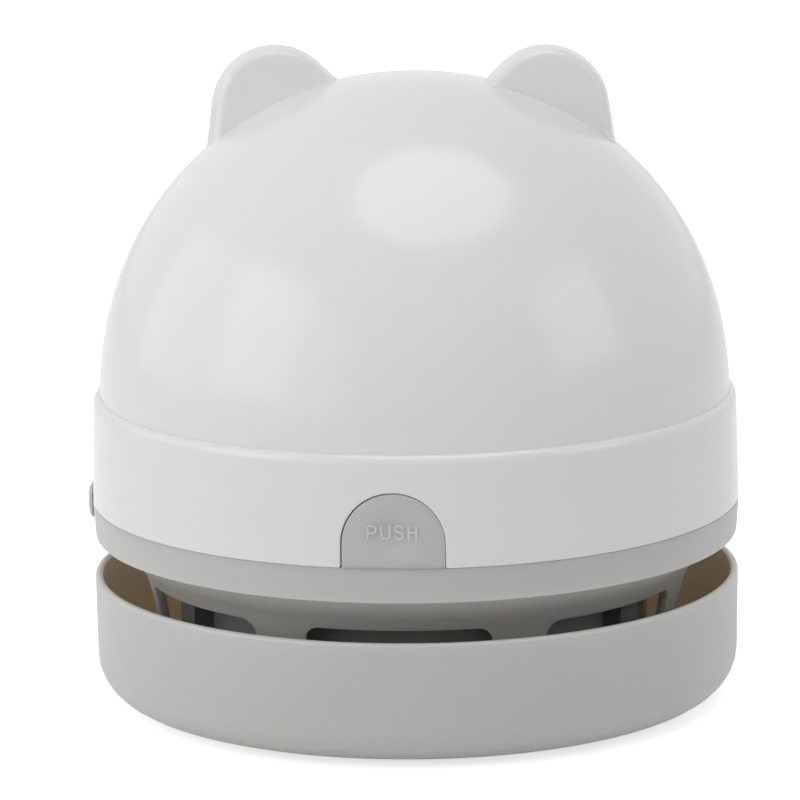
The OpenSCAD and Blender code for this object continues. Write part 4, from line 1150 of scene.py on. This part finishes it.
knob_low, knob_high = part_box("switch_knob")
y0, y1, z0, z1 = knob_low.y, knob_high.y, knob_low.z, 30.0 * mm
mid_y, mid_z = (y0 + y1) / 2, (z0 + z1) / 2
knob_base, knob_top, stem_half = 45.15 * mm, -knob_low.x, 1.5 * mm
knob_profile = (
    (0, 0), (0.02, 0.2), (0.16, 0.45), (0.42, 0.68), (0.85, 0.86), (1.4, 0.96), (2.0, 1.0)
)
rows = [[Vector((-knob_base, mid_y, mid_z))]]
for inset, share in knob_profile:
    d = inset * mm
    high = z1 - z0 - 2 * d
    corner = max(1.7 * mm - d * 0.5, 0.3 * mm)
    if high <= 2.1 * corner:
        corner = high * 0.47
    x = -(knob_base + (knob_top - knob_base) * share)
    turn = rounded_box(y0 + d, z0 + d, y1 - d, z1 - d, corner, 6)
    rows.append([Vector((x, q.x, q.y)) for q in turn])
knob = skin("knob", [*rows, [Vector((-knob_top, mid_y, mid_z))]], False)
stem_low = (-knob_base - 0.1 * mm, mid_y - stem_half, 27.5 * mm)
stem = block(stem_low, (-41.4 * mm, mid_y + stem_half, 28.6 * mm), 0.1 * mm)
fit(merged("knob", [knob, stem]), "switch_knob", "grey_shell", grey_plastic, "switch_knob")

# ---------- Chassis, plate and fan ----------
# Inside the head a black chassis carries the motor, the cell and the board. Under it the fan
# turns in the space above the intake plate, which holds the filter. All are moulded.

black_plastic = moulded("black_chassis_plastic", (0.03, 0.03, 0.032), 0.46)
dress(black_plastic, "chassis", "intake_plate")
dress(moulded("fan_plastic", (0.02, 0.02, 0.022), 0.34), "impeller")

# ---------- Motor ----------
# A small can motor: a drawn steel can with two magnets, a wound armature on a steel shaft,
# brass bushes and a black end cap.

steel = grained(
    "drawn_steel", (0.42, 0.42, 0.43), (0.6, 0.6, 0.61), (900, 4), (0.3, 0.25), 0.00001,
    (1, 1, 0.06), Metallic=1.0,
)
dress(steel, "motor_can", "motor_shaft")
dress(plated, "motor_screws", "strap_screws", "board_screws")
dark_ferrite, pale_ferrite = (0.05, 0.048, 0.048), (0.12, 0.115, 0.11)
ferrite = grained("magnet_ferrite", dark_ferrite, pale_ferrite, (2600, 3), (0.62, 0.2), 0.00003)
dress(ferrite, "motor_magnets")
dress(black_plastic, "motor_cap")
copper = Finish("enamelled_copper", Metallic=0.9)
bands = {"wave_type": "BANDS", "bands_direction": "Z"}
winding = {"Vector": copper.place, "Scale": 900.0, "Distortion": 1.2, "Detail": 1.0}
wire = copper.node("ShaderNodeTexWave", bands, winding, "Fac")
copper.wear(
    Base_Color=copper.mix((0.30, 0.09, 0.03), (0.62, 0.26, 0.10), wire),
    Roughness=0.28 + wire * 0.1,
    Normal=copper.bump(wire, 0.0001),
)
dress(copper, "armature")
dark_brass, pale_brass = (0.45, 0.32, 0.12), (0.68, 0.5, 0.22)
brass = grained(
    "sintered_brass", dark_brass, pale_brass, (3000, 3), (0.4, 0.25), 0.00001, Metallic=1.0
)
dress(brass, "motor_bushes")

# ---------- Cell, board and switch ----------
# A rechargeable cell in a blue heat-shrunk sleeve lies in two saddles under a screwed strap.
# Behind it a small green board carries the charging socket, and the slide switch stands left.

wrap = grained(
    "shrink_sleeve", (0.03, 0.13, 0.33), (0.05, 0.20, 0.45), (220, 4), (0.34, 0.15), 0.00008,
    (1, 0.3, 1), Coat_Weight=0.25, Coat_Roughness=0.2,
)
dress(wrap, "cell")
nickel = grained(
    "nickel_strip", (0.55, 0.53, 0.48), (0.7, 0.68, 0.64), (1200, 3), (0.36, 0.2), 0,
    (0.1, 1, 1), Metallic=1.0,
)
dress(nickel, "cell_tabs", "usb_socket")
dress(black_plastic, "cell_strap")
mask = Finish("solder_mask", Coat_Weight=0.2, Coat_Roughness=0.15)
board_lines = {"Vector": mask.place, "Scale": 420.0}
edges = mask.node("ShaderNodeTexVoronoi", {"feature": "DISTANCE_TO_EDGE"}, board_lines, "Distance")
tracks = mask.step(edges, 0.03, 0.06)
mask.wear(
    Base_Color=mask.mix((0.06, 0.30, 0.14), (0.015, 0.12, 0.05), tracks),
    Roughness=0.3 + mask.noise(800, 2) * 0.15,
    Normal=mask.bump(tracks, 0.00003),
)
dress(mask, "charge_board")
dress(steel, "switch_body")

# ---------- Leads ----------
# Stranded wires in soft coloured sleeves, red at the motor, black at the cell and blue at the
# switch. Each end is soldered to its tab or pad.

for node, colour in (
    ("motor_leads", (0.42, 0.02, 0.02)),
    ("cell_leads", (0.02, 0.02, 0.02)),
    ("switch_leads", (0.02, 0.06, 0.36)),
):
    paler, sheen = tuple(c * 1.5 + 0.01 for c in colour), {"Specular_IOR_Level": 0.4}
    name = node + "_sleeve"
    dress(grained(name, colour, paler, (700, 3), (0.45, 0.2), 0.00003, **sheen), node)

# ---------- Stage ----------
# A pale floor, a soft white surround, and the studio lamps whose shapes show in the gloss of
# the dome: a round box above, a tall window left, a small one right, and a wide low fill left.

scene = bpy.context.scene
scene.view_settings.view_transform = "Standard"
world = bpy.data.worlds.new("surround")
scene.world = world
world.use_nodes = True
air = Tree(world.node_tree)
camera_ray = air.node("ShaderNodeLightPath")
shows = camera_ray.math("MAXIMUM", camera_ray, camera_ray.also("Is Glossy Ray"))
shows = shows.math("MAXIMUM", shows, camera_ray.also("Is Transmission Ray"))
surround = world.node_tree.nodes["Background"]
air.feed(surround.inputs["Color"], (1, 1, 1, 1))
air.feed(surround.inputs["Strength"], shows * 0.62 + 0.38)

floor = Finish("pale_floor", Specular_IOR_Level=0.0, Emission_Color=(1, 1, 1, 1))
speck = floor.noise(600, 2)
camera_ray = floor.node("ShaderNodeLightPath")
floor.wear(
    Base_Color=floor.mix((0.87, 0.87, 0.87), (0.9, 0.9, 0.9), speck + 0.5),
    Roughness=0.9 + speck * 0.05,
    Emission_Strength=camera_ray * 0.66 + camera_ray.also("Is Glossy Ray") * 0.35,
)
floor_z = -0.02 * mm
floor_corners = [(x, y, floor_z) for x, y in ((-3, -3), (3, -3), (3, 5), (-3, 5))]
ground = thing("floor", floor_corners, [(0, 1, 2, 3)])
ground.data.materials.append(floor.material)


def lamp(name, way, wide, high, power, shape="RECTANGLE"):
    """Soft lamp on the side of the object that a direction points to, turned towards it."""
    away = Vector(way).normalized()
    light = bpy.data.lights.new(name, "AREA")
    light.shape, light.size, light.size_y, light.energy = shape, wide, high, power
    obj = bpy.data.objects.new(name, light)
    obj.location = away * 1.2 + Vector((0, 0, 0.045))
    obj.rotation_euler = away.to_track_quat("Z", "Y").to_euler()
    scene.collection.objects.link(obj)


lamp("top_box", (0.106, -0.109, 0.988), 1.05, 0.95, 4.85, "ELLIPSE")
lamp("left_window", (-0.79, -0.485, 0.375), 0.68, 0.85, 1.95)
lamp("right_window", (0.866, -0.285, 0.412), 0.6, 0.6, 1.4)
lamp("left_fill", (-0.93, -0.37, 0.1), 2.6, 1.6, 8.8)

# ---------- Camera ----------
# A long lens looks down on the object by 12 degrees, from a little right of the tab, and is
# rolled by less than a degree.

lens = bpy.data.cameras.new("camera")
lens.lens, lens.sensor_width, lens.sensor_fit = 259.7175, 36, "HORIZONTAL"
camera = bpy.data.objects.new("camera", lens)
camera.location = (0.055585, -0.785157, 0.20905)
aim = Vector((-0.002063, -0.000152, 0.04161)) - camera.location
roll = Quaternion((0, 0, 1), math.radians(-0.687))
camera.rotation_euler = (aim.to_track_quat("-Z", "Y") @ roll).to_euler()
scene.collection.objects.link(camera)
scene.camera = camera
